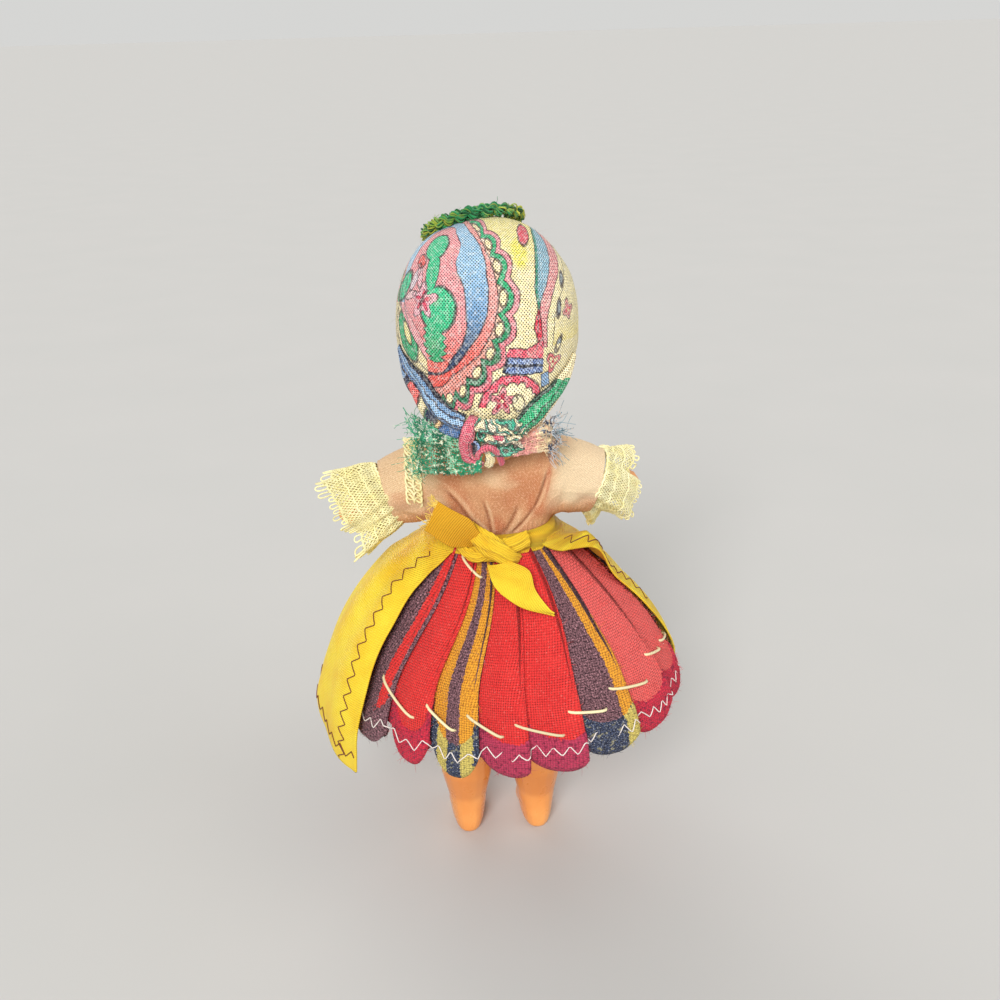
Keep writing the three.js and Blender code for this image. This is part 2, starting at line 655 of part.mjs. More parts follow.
// Blouse
function bodiceGeometry() {
  const low = WAIST_ABOVE_HIP - BLOUSE_BOTTOM_BELOW_WAIST;
  const high = NECK_ABOVE_HIP - 0.6;
  const outset = SEAT_GAP + BLOUSE_THICKNESS;
  const armhole = SHOULDER_SEAT + SEAT_GAP * 2;
  const sleeveTube = (radius, reach) => rodAlongX(radius, -reach, reach, 0, SHOULDER_HEIGHT, 22);
  const block = SHOULDER_WIDTH * 3;
  const pastArmhole = (side) =>
    new THREE.BoxGeometry(block, block, block).translate(side * (armhole + block / 2), 0, SHOULDER_HEIGHT);
  return without(
    joined(torsoForm(outset, low, high, 7), sleeveTube(SLEEVE_RADIUS, armhole)),
    torsoForm(SEAT_GAP, low - 1, high + 1, 7),
    sleeveTube(SLEEVE_RADIUS - BLOUSE_THICKNESS, armhole + 1),
    pastArmhole(1),
    pastArmhole(-1),
  );
}

// A ring about a centre, square to an axis. It starts at the back and runs over the top.
function ringAbout(centre, axis, radius, angle) {
  const back = new THREE.Vector3(0, 1, 0).projectOnPlane(axis).normalize();
  const up = axis.clone().cross(back).normalize();
  return centre
    .clone()
    .addScaledVector(back, Math.cos(angle) * radius)
    .addScaledVector(up, Math.sin(angle) * radius);
}

// The sleeve leaves the seam square to the shoulder's axis, and droops towards its end.
const SLEEVE_LINE = new THREE.QuadraticBezierCurve3(
  new THREE.Vector3(0, 0, 0),
  new THREE.Vector3(SLEEVE_LENGTH * 0.5, 0, -SLEEVE_DROP * 0.1),
  new THREE.Vector3(SLEEVE_LENGTH, 0, -SLEEVE_DROP),
);

function sleevePoint(u, v, shrink) {
  const start = SEAT_GAP * 2;
  const centre = SLEEVE_LINE.getPoint(v);
  centre.x = Math.max(centre.x, start);
  const axis = v === 0 ? new THREE.Vector3(1, 0, 0) : SLEEVE_LINE.getTangent(v);
  const radius = lerp(SLEEVE_RADIUS, SLEEVE_END_RADIUS, smoothstep(v, 0.35, 1)) - shrink;
  return ringAbout(centre, axis, radius, u * TURN);
}

function sleeveGeometry() {
  return sheet(
    (u, v) => sleevePoint(u, v, 0),
    (u, v) => sleevePoint(u, v, BLOUSE_THICKNESS),
    22,
    3,
    true,
  );
}

// The gathered lace cuff opens out from the sleeve's end to a waved rim.
function cuffGeometry(reach, rimRadius) {
  const endAxis = SLEEVE_LINE.getTangent(1);
  const start = SLEEVE_LINE.getPoint(1).addScaledVector(endAxis, SEAT_GAP);
  const rimCentre = SLEEVE_LINE.getPoint(1).add(reach);
  const rimAxis = reach.clone().normalize();
  const surface = (offset) => (u, v) => {
    const angle = u * TURN;
    const wave = 1 + 0.09 * v * Math.cos(angle * CUFF_RUFFLES) + 0.06 * v * Math.cos(angle * 2 + 1);
    const radius = lerp(SLEEVE_END_RADIUS - LACE_THICKNESS, rimRadius, v ** 0.8) * wave + offset;
    const centre = start.clone().lerp(rimCentre, v);
    const axis = endAxis.clone().lerp(rimAxis, v).normalize();
    return ringAbout(centre, axis, radius, angle);
  };
  return sheet(surface(LACE_THICKNESS), surface(0), CUFF_RUFFLES * 5, 2, true);
}

// Lace over the left sleeve's seam, from the back up over the shoulder.
function shoulderLaceGeometry() {
  const inner = SLEEVE_RADIUS + SEAT_GAP;
  const middle = SHOULDER_LACE_FROM_SEAM + SHOULDER_LACE_WIDTH / 2;
  const surface = (radius) => (u, v) => {
    const angle = THREE.MathUtils.degToRad(lerp(-16, 115, u));
    const x = middle + (v - 0.5) * SHOULDER_LACE_WIDTH + (1 - u) * 0.8;
    const r = radius + 0.25 * (1 + Math.cos(u * 40)) * v;
    return new THREE.Vector3(x, Math.cos(angle) * r, Math.sin(angle) * r);
  };
  return sheet(surface(inner + LACE_THICKNESS * 1.6), surface(inner), 18, 2, false);
}

// Skirt: angles are measured from the back (+Y) towards the doll's left (+X)
const blouseReach = SEAT_GAP + BLOUSE_THICKNESS;
const skirtInnerReach = blouseReach + SEAT_GAP * 2;
const waistDepth = Math.max(torsoFront(WAIST_ABOVE_HIP), torsoBack(WAIST_ABOVE_HIP));

function skirtPoint(angle, z, offset) {
  const share = (SKIRT_TOP - z) / (SKIRT_TOP - HEM_HEIGHT);
  const flare = 1 - (1 - Math.min(share, 1)) ** 1.7;
  const width = lerp(WAIST_WIDTH + skirtInnerReach, HEM_HALF_WIDTH, flare) + offset;
  const depth = lerp(waistDepth + skirtInnerReach, HEM_HALF_DEPTH, flare) + offset;
  const point = outlinePoint(angle, z, width, depth, depth, lerp(BODY_SQUARENESS, 2, flare));
  return point.add(new THREE.Vector3(-HEM_SHIFT_RIGHT, HEM_SHIFT_BACK, 0).multiplyScalar(flare));
}

// Where an angle falls in its pleat, from 0 at one edge to 1 at the next.
function pleatPlace(angle) {
  return THREE.MathUtils.euclideanModulo(((angle + PLEAT_PHASE) / TURN) * PLEAT_COUNT, 1);
}

// A knife pleat rises towards its edge on the doll's right, and drops back there under the edge of the next.
function pleatRise(angle) {
  const place = 1 - pleatPlace(angle);
  return place < 0.75 ? (place / 0.75) ** 0.8 : 1 - (place - 0.75) / 0.25;
}

function hemHeight(angle) {
  return HEM_HEIGHT + HEM_PETAL * (0.5 - Math.sin(Math.PI * pleatPlace(angle)) ** 0.7);
}

const pleatDepthAt = (z) =>
  PLEAT_DEPTH * Math.min(1, 0.1 + (SKIRT_TOP - z) / (SKIRT_TOP - HEM_HEIGHT));

function skirtGeometry() {
  const surface = (thickness) => (u, v) => {
    const angle = u * TURN - PLEAT_PHASE;
    const z = lerp(SKIRT_TOP, hemHeight(angle), v ** 1.25);
    return skirtPoint(angle, z, pleatDepthAt(z) * pleatRise(angle) + thickness);
  };
  return sheet(surface(SKIRT_THICKNESS), surface(0), PLEAT_COUNT * 4, 4, true);
}

// Apron: the angles of its two back edges, from the waist down
const apronLeftEdge = track([
  [0, 24],
  [0.12, 38],
  [0.3, 47],
  [0.6, 51],
  [1, 54],
]);
const apronRightEdge = track([
  [0, 322],
  [0.12, 300],
  [0.3, 281],
  [0.55, 274],
  [1, 262],
]);
const APRON_TOP = SKIRT_TOP - SEAT_GAP;

// Gathered at the top, it stands away from the skirt over the left hip and ends there in a low corner.
function apronPoint(u, v, thickness) {
  const degrees = lerp(apronLeftEdge(v), apronRightEdge(v), u);
  const corner = Math.exp(-((u / 0.12) ** 2));
  const z = lerp(APRON_TOP, APRON_FRONT_HEIGHT - APRON_CORNER_DROP * corner, v);
  const fullness = APRON_GATHER_DEPTH * (1 - 0.35 * v) * smoothstep(v, 0.02, 0.16);
  const gathers = (fullness / 2) * (1 - Math.cos(u * TURN * APRON_GATHERS));
  const leftHip = Math.exp(-(((degrees - APRON_FLARE_ANGLE) / APRON_FLARE_SPREAD) ** 2));
  const standing = smoothstep(v, 0.01, 0.14) * (1 - 0.7 * smoothstep(v, 0.35, 0.9));
  const clear = SKIRT_THICKNESS + pleatDepthAt(z) + APRON_EASE;
  return skirtPoint(
    THREE.MathUtils.degToRad(degrees),
    z,
    clear + gathers + APRON_FLARE * standing * leftHip + thickness,
  );
}

function apronGeometry() {
  return sheet(
    (u, v) => apronPoint(u, v ** 1.25, RIBBON_THICKNESS),
    (u, v) => apronPoint(u, v ** 1.25, 0),
    APRON_GATHERS * 4,
    5,
    false,
  );
}

// The waistband dips at the back, where its knot is.
const BAND_LOW = SKIRT_TOP + SEAT_GAP;
const bandReach = blouseReach + SEAT_GAP * 2;

function waistbandGeometry() {
  const surface = (thickness) => (u, v) => {
    const angle = u * TURN;
    const fold = 0.2 * (1 - Math.cos(angle * 7)) * v;
    const z = BAND_LOW + WAISTBAND_HEIGHT * v + 0.4 * (1 - Math.cos(angle));
    const reach = bandReach + fold + thickness;
    const width = torsoWidth(z - HIP_HEIGHT) + reach;
    const depth = Math.max(torsoBack(z - HIP_HEIGHT), torsoFront(z - HIP_HEIGHT)) + reach;
    return outlinePoint(angle, z, width, depth, depth, BODY_SQUARENESS);
  };
  return sheet(surface(RIBBON_THICKNESS), surface(0), 28, 2, true);
}

// The knot sits on the back of the waistband.
const KNOT_HALF_DEPTH = 2.3;
const KNOT_X = 1.4;
const KNOT_Y = waistDepth + bandReach + RIBBON_THICKNESS + SEAT_GAP * 2 + KNOT_HALF_DEPTH;
const KNOT_Z = BAND_LOW + WAISTBAND_HEIGHT * 0.6;

function bowKnotForm(grow) {
  return new THREE.SphereGeometry(1, 14, 10)
    .scale(BOW_KNOT_WIDTH + grow, KNOT_HALF_DEPTH + grow, 3.1 + grow)
    .rotateY(THREE.MathUtils.degToRad(32))
    .translate(KNOT_X, KNOT_Y, KNOT_Z);
}

// A ribbon end along a curve: flat across, a little curled, to its own end width.
function tailGeometry(points, width, endWidth, acrossStart, acrossEnd) {
  const curve = new THREE.CatmullRomCurve3(points);
  const surface = (thickness) => (u, v) => {
    const centre = curve.getPoint(v);
    const along = curve.getTangent(v);
    const across = acrossStart.clone().lerp(acrossEnd, v).projectOnPlane(along).normalize();
    const normal = across.clone().cross(along).normalize();
    if (normal.y < 0) normal.negate();
    const curl = Math.sin(u * Math.PI) * 0.7;
    return centre
      .addScaledVector(across, (u - 0.5) * lerp(width, endWidth, v ** 2))
      .addScaledVector(normal, thickness + curl);
  };
  return sheet(surface(RIBBON_THICKNESS), surface(0), 4, 6, false);
}

function upperTailGeometry() {
  const y = KNOT_Y + 0.2;
  const start = new THREE.Vector3(KNOT_X + 3, y, KNOT_Z + 1.8);
  const along = (share, out) => {
    const length = UPPER_TAIL_LENGTH * share;
    return start.clone().add(new THREE.Vector3(length * 0.86, out, length * 0.62));
  };
  const tail = tailGeometry(
    [start, along(0.5, 1.4), along(1, 1.2)],
    TAIL_WIDTH * 0.7,
    TAIL_WIDTH,
    new THREE.Vector3(-0.5, 0.1, 0.86),
    new THREE.Vector3(-0.25, -0.2, 0.95),
  );
  return without(tail, bowKnotForm(SEAT_GAP));
}

// The lower tail lies down the back of the skirt to its slanted cut.
function lowerTailGeometry() {
  const start = new THREE.Vector3(KNOT_X - 2.6, KNOT_Y + 1, KNOT_Z - 2);
  const reach = (share) => {
    const z = start.z - LOWER_TAIL_LENGTH * 0.62 * share;
    const angle = THREE.MathUtils.degToRad(lerp(-6, -17, share));
    return skirtPoint(angle, z, SKIRT_THICKNESS + PLEAT_DEPTH + lerp(3.4, 1, share));
  };
  const across = new THREE.Vector3(0.86, 0, 0.5);
  const points = [start, reach(0.45), reach(0.75), reach(1.05)];
  return without(tailGeometry(points, TAIL_WIDTH * 0.85, 0.8, across, across), bowKnotForm(SEAT_GAP));
}

const bowKnotGeometry = () => bowKnotForm(0);

// Kerchief, about the head's centre. It hangs clear of the head near the nape.
const NAPE = new THREE.Vector3(0.05, 0.57, -0.82).normalize();

function overHead(direction, offset) {
  const drape = NAPE_DRAPE * smoothstep(direction.dot(NAPE), 0.6, 1);
  return new THREE.Vector3(
    direction.x * (HEAD_HALF_WIDTH + offset + drape),
    direction.y * (HEAD_HALF_DEPTH + offset + drape),
    direction.z * (HEAD_HALF_HEIGHT + offset + drape),
  );
}

// The rim round the face lies in a plane square to this direction.
const RIM_NORMAL_BACK = 0.82;
const RIM_NORMAL_UP = 0.57;

// The cloth over the back and crown of the head, to a slanted rim round the face.
function crownForm(inner, outer, columns) {
  const rimAngle = (around) => {
    const a = RIM_NORMAL_BACK * HEAD_HALF_DEPTH;
    const b = RIM_NORMAL_UP * HEAD_HALF_HEIGHT * Math.sin(around);
    return Math.atan2(b, a) + Math.acos(-KERCHIEF_RIM_SET_BACK / Math.hypot(a, b));
  };
  const ring = (share, offset) =>
    Array.from({ length: columns }, (_, i) => {
      const around = (i / columns) * TURN;
      const v = rimAngle(around) * share;
      const spread = Math.sin(v);
      const direction = new THREE.Vector3(spread * Math.cos(around), Math.cos(v), spread * Math.sin(around));
      return overHead(direction, offset);
    });
  const shares = [0.08, 0.24, 0.4, 0.56, 0.72, 0.87, 1];
  const outside = shares.map((s) => ring(s, outer));
  const inside = shares.map((s) => ring(s, inner)).reverse();
  return loft([...outside, ...inside]);
}

const CROWN_OUTSIDE = CROWN_GAP + KERCHIEF_THICKNESS;
const crownGeometry = () => crownForm(CROWN_GAP, CROWN_OUTSIDE, 28);

// A rolled fold of the cloth from beside the cheek to the knot, lying on the crown.
function foldGeometry(side) {
  const start = new THREE.Vector3(side * 0.93, 0.34, 0.16).normalize();
  const middle = new THREE.Vector3(side * 0.86, 0.44, -0.42).normalize();
  const curve = new THREE.QuadraticBezierCurve3(start, middle.multiplyScalar(1.08), NAPE);
  const surface = (top) => (u, v) => {
    const centre = curve.getPoint(v).normalize();
    const along = curve.getTangent(v);
    const across = centre.clone().cross(along).normalize();
    const fullness = lerp(0.45, 1, smoothstep(v, 0, 0.4)) * lerp(1, 0.55, smoothstep(v, 0.6, 1));
    const width = KERCHIEF_BAND_WIDTH * fullness;
    const direction = centre.addScaledVector(across, ((u - 0.5) * width) / HEAD_HALF_WIDTH).normalize();
    const height = KERCHIEF_BAND_THICKNESS * lerp(0.5, 1, smoothstep(v, 0, 0.5));
    const roll = top * height * Math.sin(Math.PI * lerp(0.14, 0.86, u));
    return overHead(direction, CROWN_OUTSIDE + SEAT_GAP + 0.15 + roll);
  };
  return without(sheet(surface(1), surface(0), 5, 10, false), kerchiefKnotForm(SEAT_GAP));
}

const KERCHIEF_KNOT_SEAT = overHead(NAPE, CROWN_OUTSIDE + KERCHIEF_BAND_THICKNESS * 0.6);

function kerchiefKnotForm(grow) {
  const [wide, deep, high] = [1.12, 0.72, 1].map((share) => KERCHIEF_KNOT_RADIUS * share + grow);
  return new THREE.SphereGeometry(1, 16, 12)
    .scale(wide, deep, high)
    .rotateX(THREE.MathUtils.degToRad(-30))
    .translate(...KERCHIEF_KNOT_SEAT.toArray());
}

const crownBlank = (grow) => crownForm(-HEAD_HALF_WIDTH * 0.4, CROWN_OUTSIDE + grow, 28);
const kerchiefKnotGeometry = () => without(kerchiefKnotForm(0), crownBlank(SEAT_GAP));

// A frayed end fans out from the knot behind the shoulder.
function kerchiefEndGeometry(side, length, halfSpread, climb) {
  const seat = KERCHIEF_KNOT_SEAT;
  const root = KERCHIEF_KNOT_RADIUS * 0.52;
  const surface = (thickness) => (u, v) => {
    const fold = Math.cos(u * Math.PI * 3) * KERCHIEF_END_FOLD * v;
    return new THREE.Vector3(
      seat.x + side * (root + length * v),
      seat.y + 0.6 * (1 - v) + fold + thickness,
      seat.z + (u - 0.5) * 2 * lerp(root, halfSpread, v) + climb * v,
    );
  };
  return without(
    sheet(surface(KERCHIEF_THICKNESS), surface(0), 8, 4, false),
    kerchiefKnotForm(SEAT_GAP),
    crownBlank(KERCHIEF_BAND_THICKNESS + SEAT_GAP * 3),
  );
}

// The plaited yarn ring lies tilted on the crown.
function headRingGeometry() {
  const middleRadius = RING_OUTER_RADIUS - RING_TUBE_RADIUS;
  const section = Array.from({ length: 9 }, (_, k) => {
    const angle = (k / 8) * TURN;
    const out = middleRadius + Math.cos(angle) * RING_TUBE_RADIUS;
    return new THREE.Vector2(out, Math.sin(angle) * RING_TUBE_RADIUS);
  });
  return facingOutLathe(new THREE.LatheGeometry(section, 28).rotateX(Math.PI / 2));
}

// The ring's place: square to the crown where it lies, and resting on it all round.
function placeHeadRing(ring) {
  const tilt = new THREE.Euler(RING_TILT, RING_ROLL, 0);
  const up = new THREE.Vector3(0, 0, 1).applyEuler(tilt);
  const radius = HEAD_HALF_HEIGHT + CROWN_OUTSIDE;
  const middleRadius = RING_OUTER_RADIUS - RING_TUBE_RADIUS;
  const height = Math.sqrt((radius + RING_TUBE_RADIUS + SEAT_GAP * 2) ** 2 - middleRadius ** 2);
  const seat = up.clone().multiplyScalar(height);
  seat.x *= (HEAD_HALF_WIDTH + CROWN_OUTSIDE) / radius;
  seat.y *= (HEAD_HALF_DEPTH + CROWN_OUTSIDE) / radius;
  ring.position.copy(seat);
  ring.rotation.copy(tilt);
}

// Assembly: one group for each body that moves, placed at its joint
function piece(group, name, geometry, finish) {
  const mesh = new THREE.Mesh(geometry, finish);
  mesh.name = name;
  group.add(mesh);
  return mesh;
}

// The same geometry for the doll's right side.
function mirrored(geometry) {
  const copy = mergeVertices(new THREE.BufferGeometry().copy(geometry), 1e-5);
  copy.scale(-1, 1, 1);
  return facingOut(copy);
}

const doll = new THREE.Group();

const torso = new THREE.Group();
doll.add(torso);
const armWasherFace = SHELL_WALL + SEAT_GAP * 2;
const legWasherFace =
  HIP_SPREAD - Math.sqrt((HIP_BALL_RADIUS - SHELL_WALL) ** 2 - WASHER_RADIUS ** 2) + SEAT_GAP * 2;
piece(torso, "torso", torsoGeometry(), SKIN_PLASTIC);
piece(torso, "neck_hook", neckHookGeometry(), WIRE);
const armCord = limbElasticGeometry(SHOULDER_SEAT + armWasherFace);
const armElastic = piece(torso, "arm_elastic", armCord, ELASTIC_CORD);
armElastic.position.z = SHOULDER_HEIGHT;
const legElastic = piece(torso, "leg_elastic", limbElasticGeometry(legWasherFace), ELASTIC_CORD);
legElastic.position.z = HIP_HEIGHT;
piece(torso, "blouse_bodice", bodiceGeometry(), BLOUSE_COTTON);
piece(torso, "skirt", skirtGeometry(), SKIRT_WOOL);
piece(torso, "apron_panel", apronGeometry(), APRON_RIBBON);
piece(torso, "apron_waistband", waistbandGeometry(), APRON_RIBBON);
piece(torso, "apron_knot", bowKnotGeometry(), APRON_RIBBON);
piece(torso, "apron_tail_upper", upperTailGeometry(), APRON_RIBBON);
piece(torso, "apron_tail_lower", lowerTailGeometry(), APRON_RIBBON);

const head = new THREE.Group();
head.position.set(0, 0, HEAD_HEIGHT);
doll.add(head);
piece(head, "head", headGeometry(), SKIN_PLASTIC);
piece(head, "kerchief_crown", crownGeometry(), KERCHIEF_PRINT);
piece(head, "kerchief_fold_left", foldGeometry(1), KERCHIEF_PRINT);
piece(head, "kerchief_fold_right", foldGeometry(-1), KERCHIEF_PRINT);
piece(head, "kerchief_knot", kerchiefKnotGeometry(), KERCHIEF_PRINT);
const leftEnd = kerchiefEndGeometry(1, LEFT_END_LENGTH, LEFT_END_HALF_SPREAD, LEFT_END_CLIMB);
piece(head, "kerchief_end_left", leftEnd, KERCHIEF_PRINT);
const rightEnd = kerchiefEndGeometry(-1, RIGHT_END_LENGTH, RIGHT_END_HALF_SPREAD, RIGHT_END_CLIMB);
piece(head, "kerchief_end_right", rightEnd, KERCHIEF_PRINT);
placeHeadRing(piece(head, "head_ring", headRingGeometry(), RING_YARN));

const asMade = (geometry) => geometry;
const sides = [
  { name: "left", side: 1, turn: LEFT_ARM_TURN, cuff: [LEFT_CUFF_REACH, LEFT_CUFF_RADIUS], copy: asMade },
  { name: "right", side: -1, turn: RIGHT_ARM_TURN, cuff: [RIGHT_CUFF_REACH, RIGHT_CUFF_RADIUS], copy: mirrored },
];
for (const { name, side, turn, cuff, copy } of sides) {
  const arm = new THREE.Group();
  arm.position.set(side * (SHOULDER_SEAT + SEAT_GAP), 0, SHOULDER_HEIGHT);
  arm.rotation.x = turn;
  doll.add(arm);
  piece(arm, `arm_${name}`, copy(armGeometry()), SKIN_PLASTIC);
  piece(arm, `sleeve_${name}`, copy(sleeveGeometry()), BLOUSE_COTTON);
  piece(arm, `lace_cuff_${name}`, copy(cuffGeometry(...cuff)), LACE);
  if (name === "left") piece(arm, "shoulder_lace", shoulderLaceGeometry(), LACE);
  const armWasher = piece(arm, `arm_washer_${name}`, copy(washerGeometry()), WIRE);
  armWasher.position.x = side * (armWasherFace - SEAT_GAP);

  const leg = new THREE.Group();
  leg.position.set(side * HIP_SPREAD, 0, HIP_HEIGHT);
  doll.add(leg);
  piece(leg, `leg_${name}`, copy(legGeometry()), SKIN_PLASTIC);
  const legWasher = piece(leg, `leg_washer_${name}`, copy(washerGeometry()), WIRE);
  legWasher.position.x = side * (legWasherFace - HIP_SPREAD);
}

export default doll;
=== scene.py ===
# A costume doll seen from behind. Lengths in this script are millimetres, and the scene is in metres.
import math

import bpy
import numpy as np
from mathutils import Matrix


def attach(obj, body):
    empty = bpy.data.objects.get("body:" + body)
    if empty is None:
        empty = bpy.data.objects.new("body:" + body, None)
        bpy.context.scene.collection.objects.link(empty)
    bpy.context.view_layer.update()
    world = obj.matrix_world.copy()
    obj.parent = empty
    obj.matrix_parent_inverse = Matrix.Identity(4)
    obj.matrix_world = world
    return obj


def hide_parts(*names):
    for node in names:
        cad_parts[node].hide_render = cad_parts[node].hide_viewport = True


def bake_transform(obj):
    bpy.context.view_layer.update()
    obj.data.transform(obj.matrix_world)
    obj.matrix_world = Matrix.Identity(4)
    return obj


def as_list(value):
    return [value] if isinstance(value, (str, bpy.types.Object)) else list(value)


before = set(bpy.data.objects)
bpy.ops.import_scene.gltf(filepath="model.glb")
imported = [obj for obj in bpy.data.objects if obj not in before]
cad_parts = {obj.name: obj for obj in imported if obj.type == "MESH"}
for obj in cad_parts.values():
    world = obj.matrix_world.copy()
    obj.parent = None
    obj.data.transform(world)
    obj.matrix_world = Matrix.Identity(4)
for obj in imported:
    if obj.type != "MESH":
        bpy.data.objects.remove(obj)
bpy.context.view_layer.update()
scene = bpy.context.scene

MM = 0.001
TURN = 2 * math.pi
UP = np.array([0, 0, 1.0])


# Numbers

def lerp(a, b, share):
    return a + (b - a) * share


def smoothstep(x, low, high):
    t = np.clip((np.asarray(x, float) - low) / (high - low), 0, 1)
    return t * t * (3 - 2 * t)


def unit(vectors):
    vectors = np.asarray(vectors, float)
    return vectors / np.maximum(np.linalg.norm(vectors, axis=-1, keepdims=True), 1e-9)


def points(*parts):
    """Arrays or numbers for x, y and z as one array of points."""
    return np.stack(np.broadcast_arrays(*[np.asarray(p, float) for p in parts]), -1)


def track(pairs):
    """A smooth value through (place, value) pairs."""
    places, values = np.array(pairs, float).T
    slopes = np.gradient(values, places)

    def value(place):
        place = np.clip(place, places[0], places[-1])
        k = np.clip(np.searchsorted(places, place, side="right") - 1, 0, len(places) - 2)
        width = places[k + 1] - places[k]
        t = (place - places[k]) / width
        rise = (values[k + 1] - values[k]) / width
        a = 3 * rise - 2 * slopes[k] - slopes[k + 1]
        b = slopes[k] + slopes[k + 1] - 2 * rise
        return values[k] + width * t * (slopes[k] + t * (a + t * b))

    return value


def route(corners, steps):
    """A smooth path through a few corners, evenly spaced in its parameter."""
    corners = np.array(corners, float)
    places = np.concatenate([[0], np.cumsum(np.linalg.norm(np.diff(corners, axis=0), axis=1))])
    along = np.linspace(0, places[-1], steps)
    return np.stack([track(np.stack([places, corners[:, k]], 1))(along) for k in range(3)], -1)


def noise(at, size, seed):
    """Smooth value noise from -1 to 1 at points, with features of that size in millimetres."""
    at = np.asarray(at, float) / size
    base = np.floor(at).astype(np.int64)
    part = at - base
    part = part * part * (3 - 2 * part)
    total = 0
    for corner in np.ndindex(2, 2, 2):
        weight = np.prod(np.where(corner, part, 1 - part), axis=-1)
        x, y, z = np.moveaxis(base + corner, -1, 0)
        h = (x * 374761393 + y * 668265263 + z * 1440662683 + seed * 1274126177) & 0xFFFFFFFF
        h = ((h ^ (h >> 13)) * 1274126177) & 0xFFFFFFFF
        total = total + weight * (((h ^ (h >> 16)) & 0xFFFF) / 32767.5 - 1)
    return total


# Meshes

def make_mesh(name, at, faces, material, uvs=None, values=None):
    """A piece from points in mm and faces, with named UV layers (per face corner) and point values."""
    mesh = bpy.data.meshes.new(name)
    mesh.from_pydata((np.asarray(at) * MM).tolist(), [], faces)
    mesh.polygons.foreach_set("use_smooth", [True] * len(mesh.polygons))
    for layer, corners in (uvs or {}).items():
        uv = mesh.uv_layers.new(name=layer)
        uv.data.foreach_set("uv", np.asarray(corners, np.float32).ravel())
    for attribute, numbers in (values or {}).items():
        held = mesh.attributes.new(attribute, "FLOAT", "POINT")
        held.data.foreach_set("value", np.asarray(numbers, np.float32).ravel())
    mesh.validate()
    piece = bpy.data.objects.new(name, mesh)
    mesh.materials.append(material)
    scene.collection.objects.link(piece)
    return piece


SQUARE = [(0, 0), (1, 0), (1, 1), (0, 1)]


def grid_faces(columns, rows, count, order=SQUARE):
    """The faces of a grid with count points in a row, and a function that hands pairs to their corners."""
    i, j = np.meshgrid(np.arange(columns), np.arange(rows))
    faces = np.stack([(j + b) * count + (i + a) % count for a, b in order], -1).reshape(-1, 4)

    def to_corners(pairs):
        return np.stack([pairs[j + b, i + a] for a, b in order], -2).reshape(-1, 2)

    return faces.tolist(), to_corners


def sheet_mesh(name, surface, columns, rows, material, thickness, pattern, closed=False, flip=False):
    """A piece of cloth. surface(u, v) gives its points, pattern(u, v) named pairs of cloth coordinates."""
    u, v = np.meshgrid(np.linspace(0, 1, columns + 1), np.linspace(0, 1, rows + 1))
    count = columns if closed else columns + 1
    faces, to_corners = grid_faces(columns, rows, count, SQUARE[:1] + SQUARE[:0:-1] if flip else SQUARE)
    uvs = {}
    for layer, pair in pattern(u, v).items():
        uvs[layer] = to_corners(np.stack(np.broadcast_arrays(*pair), -1))
    piece = make_mesh(name, surface(u, v)[:, :count].reshape(-1, 3), faces, material, uvs)
    thicken(piece, thickness)
    return piece


def lengths(at, axis):
    """How far along its rows or columns each point of a grid lies, in mm."""
    steps = np.linalg.norm(np.diff(at, axis=axis), axis=-1)
    start = np.zeros_like(np.take(steps, [0], axis))
    return np.concatenate([start, np.cumsum(steps, axis)], axis)


def grid_pattern(surface):
    """Cloth coordinates for a surface: mm across and mm along."""
    def pattern(u, v):
        at = surface(u, v)
        return {"cloth": (lengths(at, 1), lengths(at, 0))}
    return pattern


def thicken(piece, thickness):
    """Cloth of that thickness in mm, grown inwards from its outside."""
    shell = piece.modifiers.new("thickness", "SOLIDIFY")
    shell.thickness = thickness * MM
    shell.offset = -1


def settle(piece):
    """Applies a piece's modifiers to its mesh, so that the mesh can be weighted or reshaped."""
    depsgraph = bpy.context.evaluated_depsgraph_get()
    settled = piece.evaluated_get(depsgraph)
    held = bpy.data.meshes.new_from_object(settled, preserve_all_data_layers=True, depsgraph=depsgraph)
    piece.modifiers.clear()
    piece.data = held


def strand_mesh(name, paths, radius, material, sides=5, guide=None, closed=False, uvs=None):
    """Round threads along paths (threads, steps, 3). radius is a number, or one for each step or point."""
    paths = np.asarray(paths, float)
    count, steps, _ = paths.shape
    if closed:
        along = unit(np.roll(paths, -1, 1) - np.roll(paths, 1, 1))
    else:
        along = unit(np.gradient(paths, axis=1))
    if guide is None:
        guide = np.eye(3)[np.argmin(np.abs(along).mean(1), axis=-1)][:, None]
    aside = unit(np.cross(along, guide))
    upward = np.cross(aside, along)
    angle = np.arange(sides) / sides * TURN
    radius = np.broadcast_to(radius, (count, steps))[..., None, None]
    circle = np.cos(angle)[:, None] * aside[:, :, None] + np.sin(angle)[:, None] * upward[:, :, None]
    at = (paths[:, :, None] + radius * circle).reshape(-1, 3)
    spans = steps if closed else steps - 1
    t, s, k = np.meshgrid(np.arange(count), np.arange(spans), np.arange(sides), indexing="ij")

    def corner(ds, dk):
        return (t * steps + (s + ds) % steps) * sides + (k + dk) % sides

    faces = np.stack([corner(0, 0), corner(0, 1), corner(1, 1), corner(1, 0)], -1).reshape(-1, 4).tolist()
    thread_of = np.repeat(np.arange(count), spans * sides * 4)
    if not closed:
        first = np.arange(count)[:, None] * steps * sides
        faces += (first + np.arange(sides)[::-1]).tolist()
        faces += (first + (steps - 1) * sides + np.arange(sides)).tolist()
        thread_of = np.concatenate([thread_of, *[np.repeat(np.arange(count), sides)] * 2])
    layers = {layer: np.asarray(pair)[thread_of] for layer, pair in (uvs or {}).items()}
    tint = np.repeat(np.random.default_rng(count).random(count), steps * sides)
    return make_mesh(name, at, faces, material, layers, {"tint": tint})


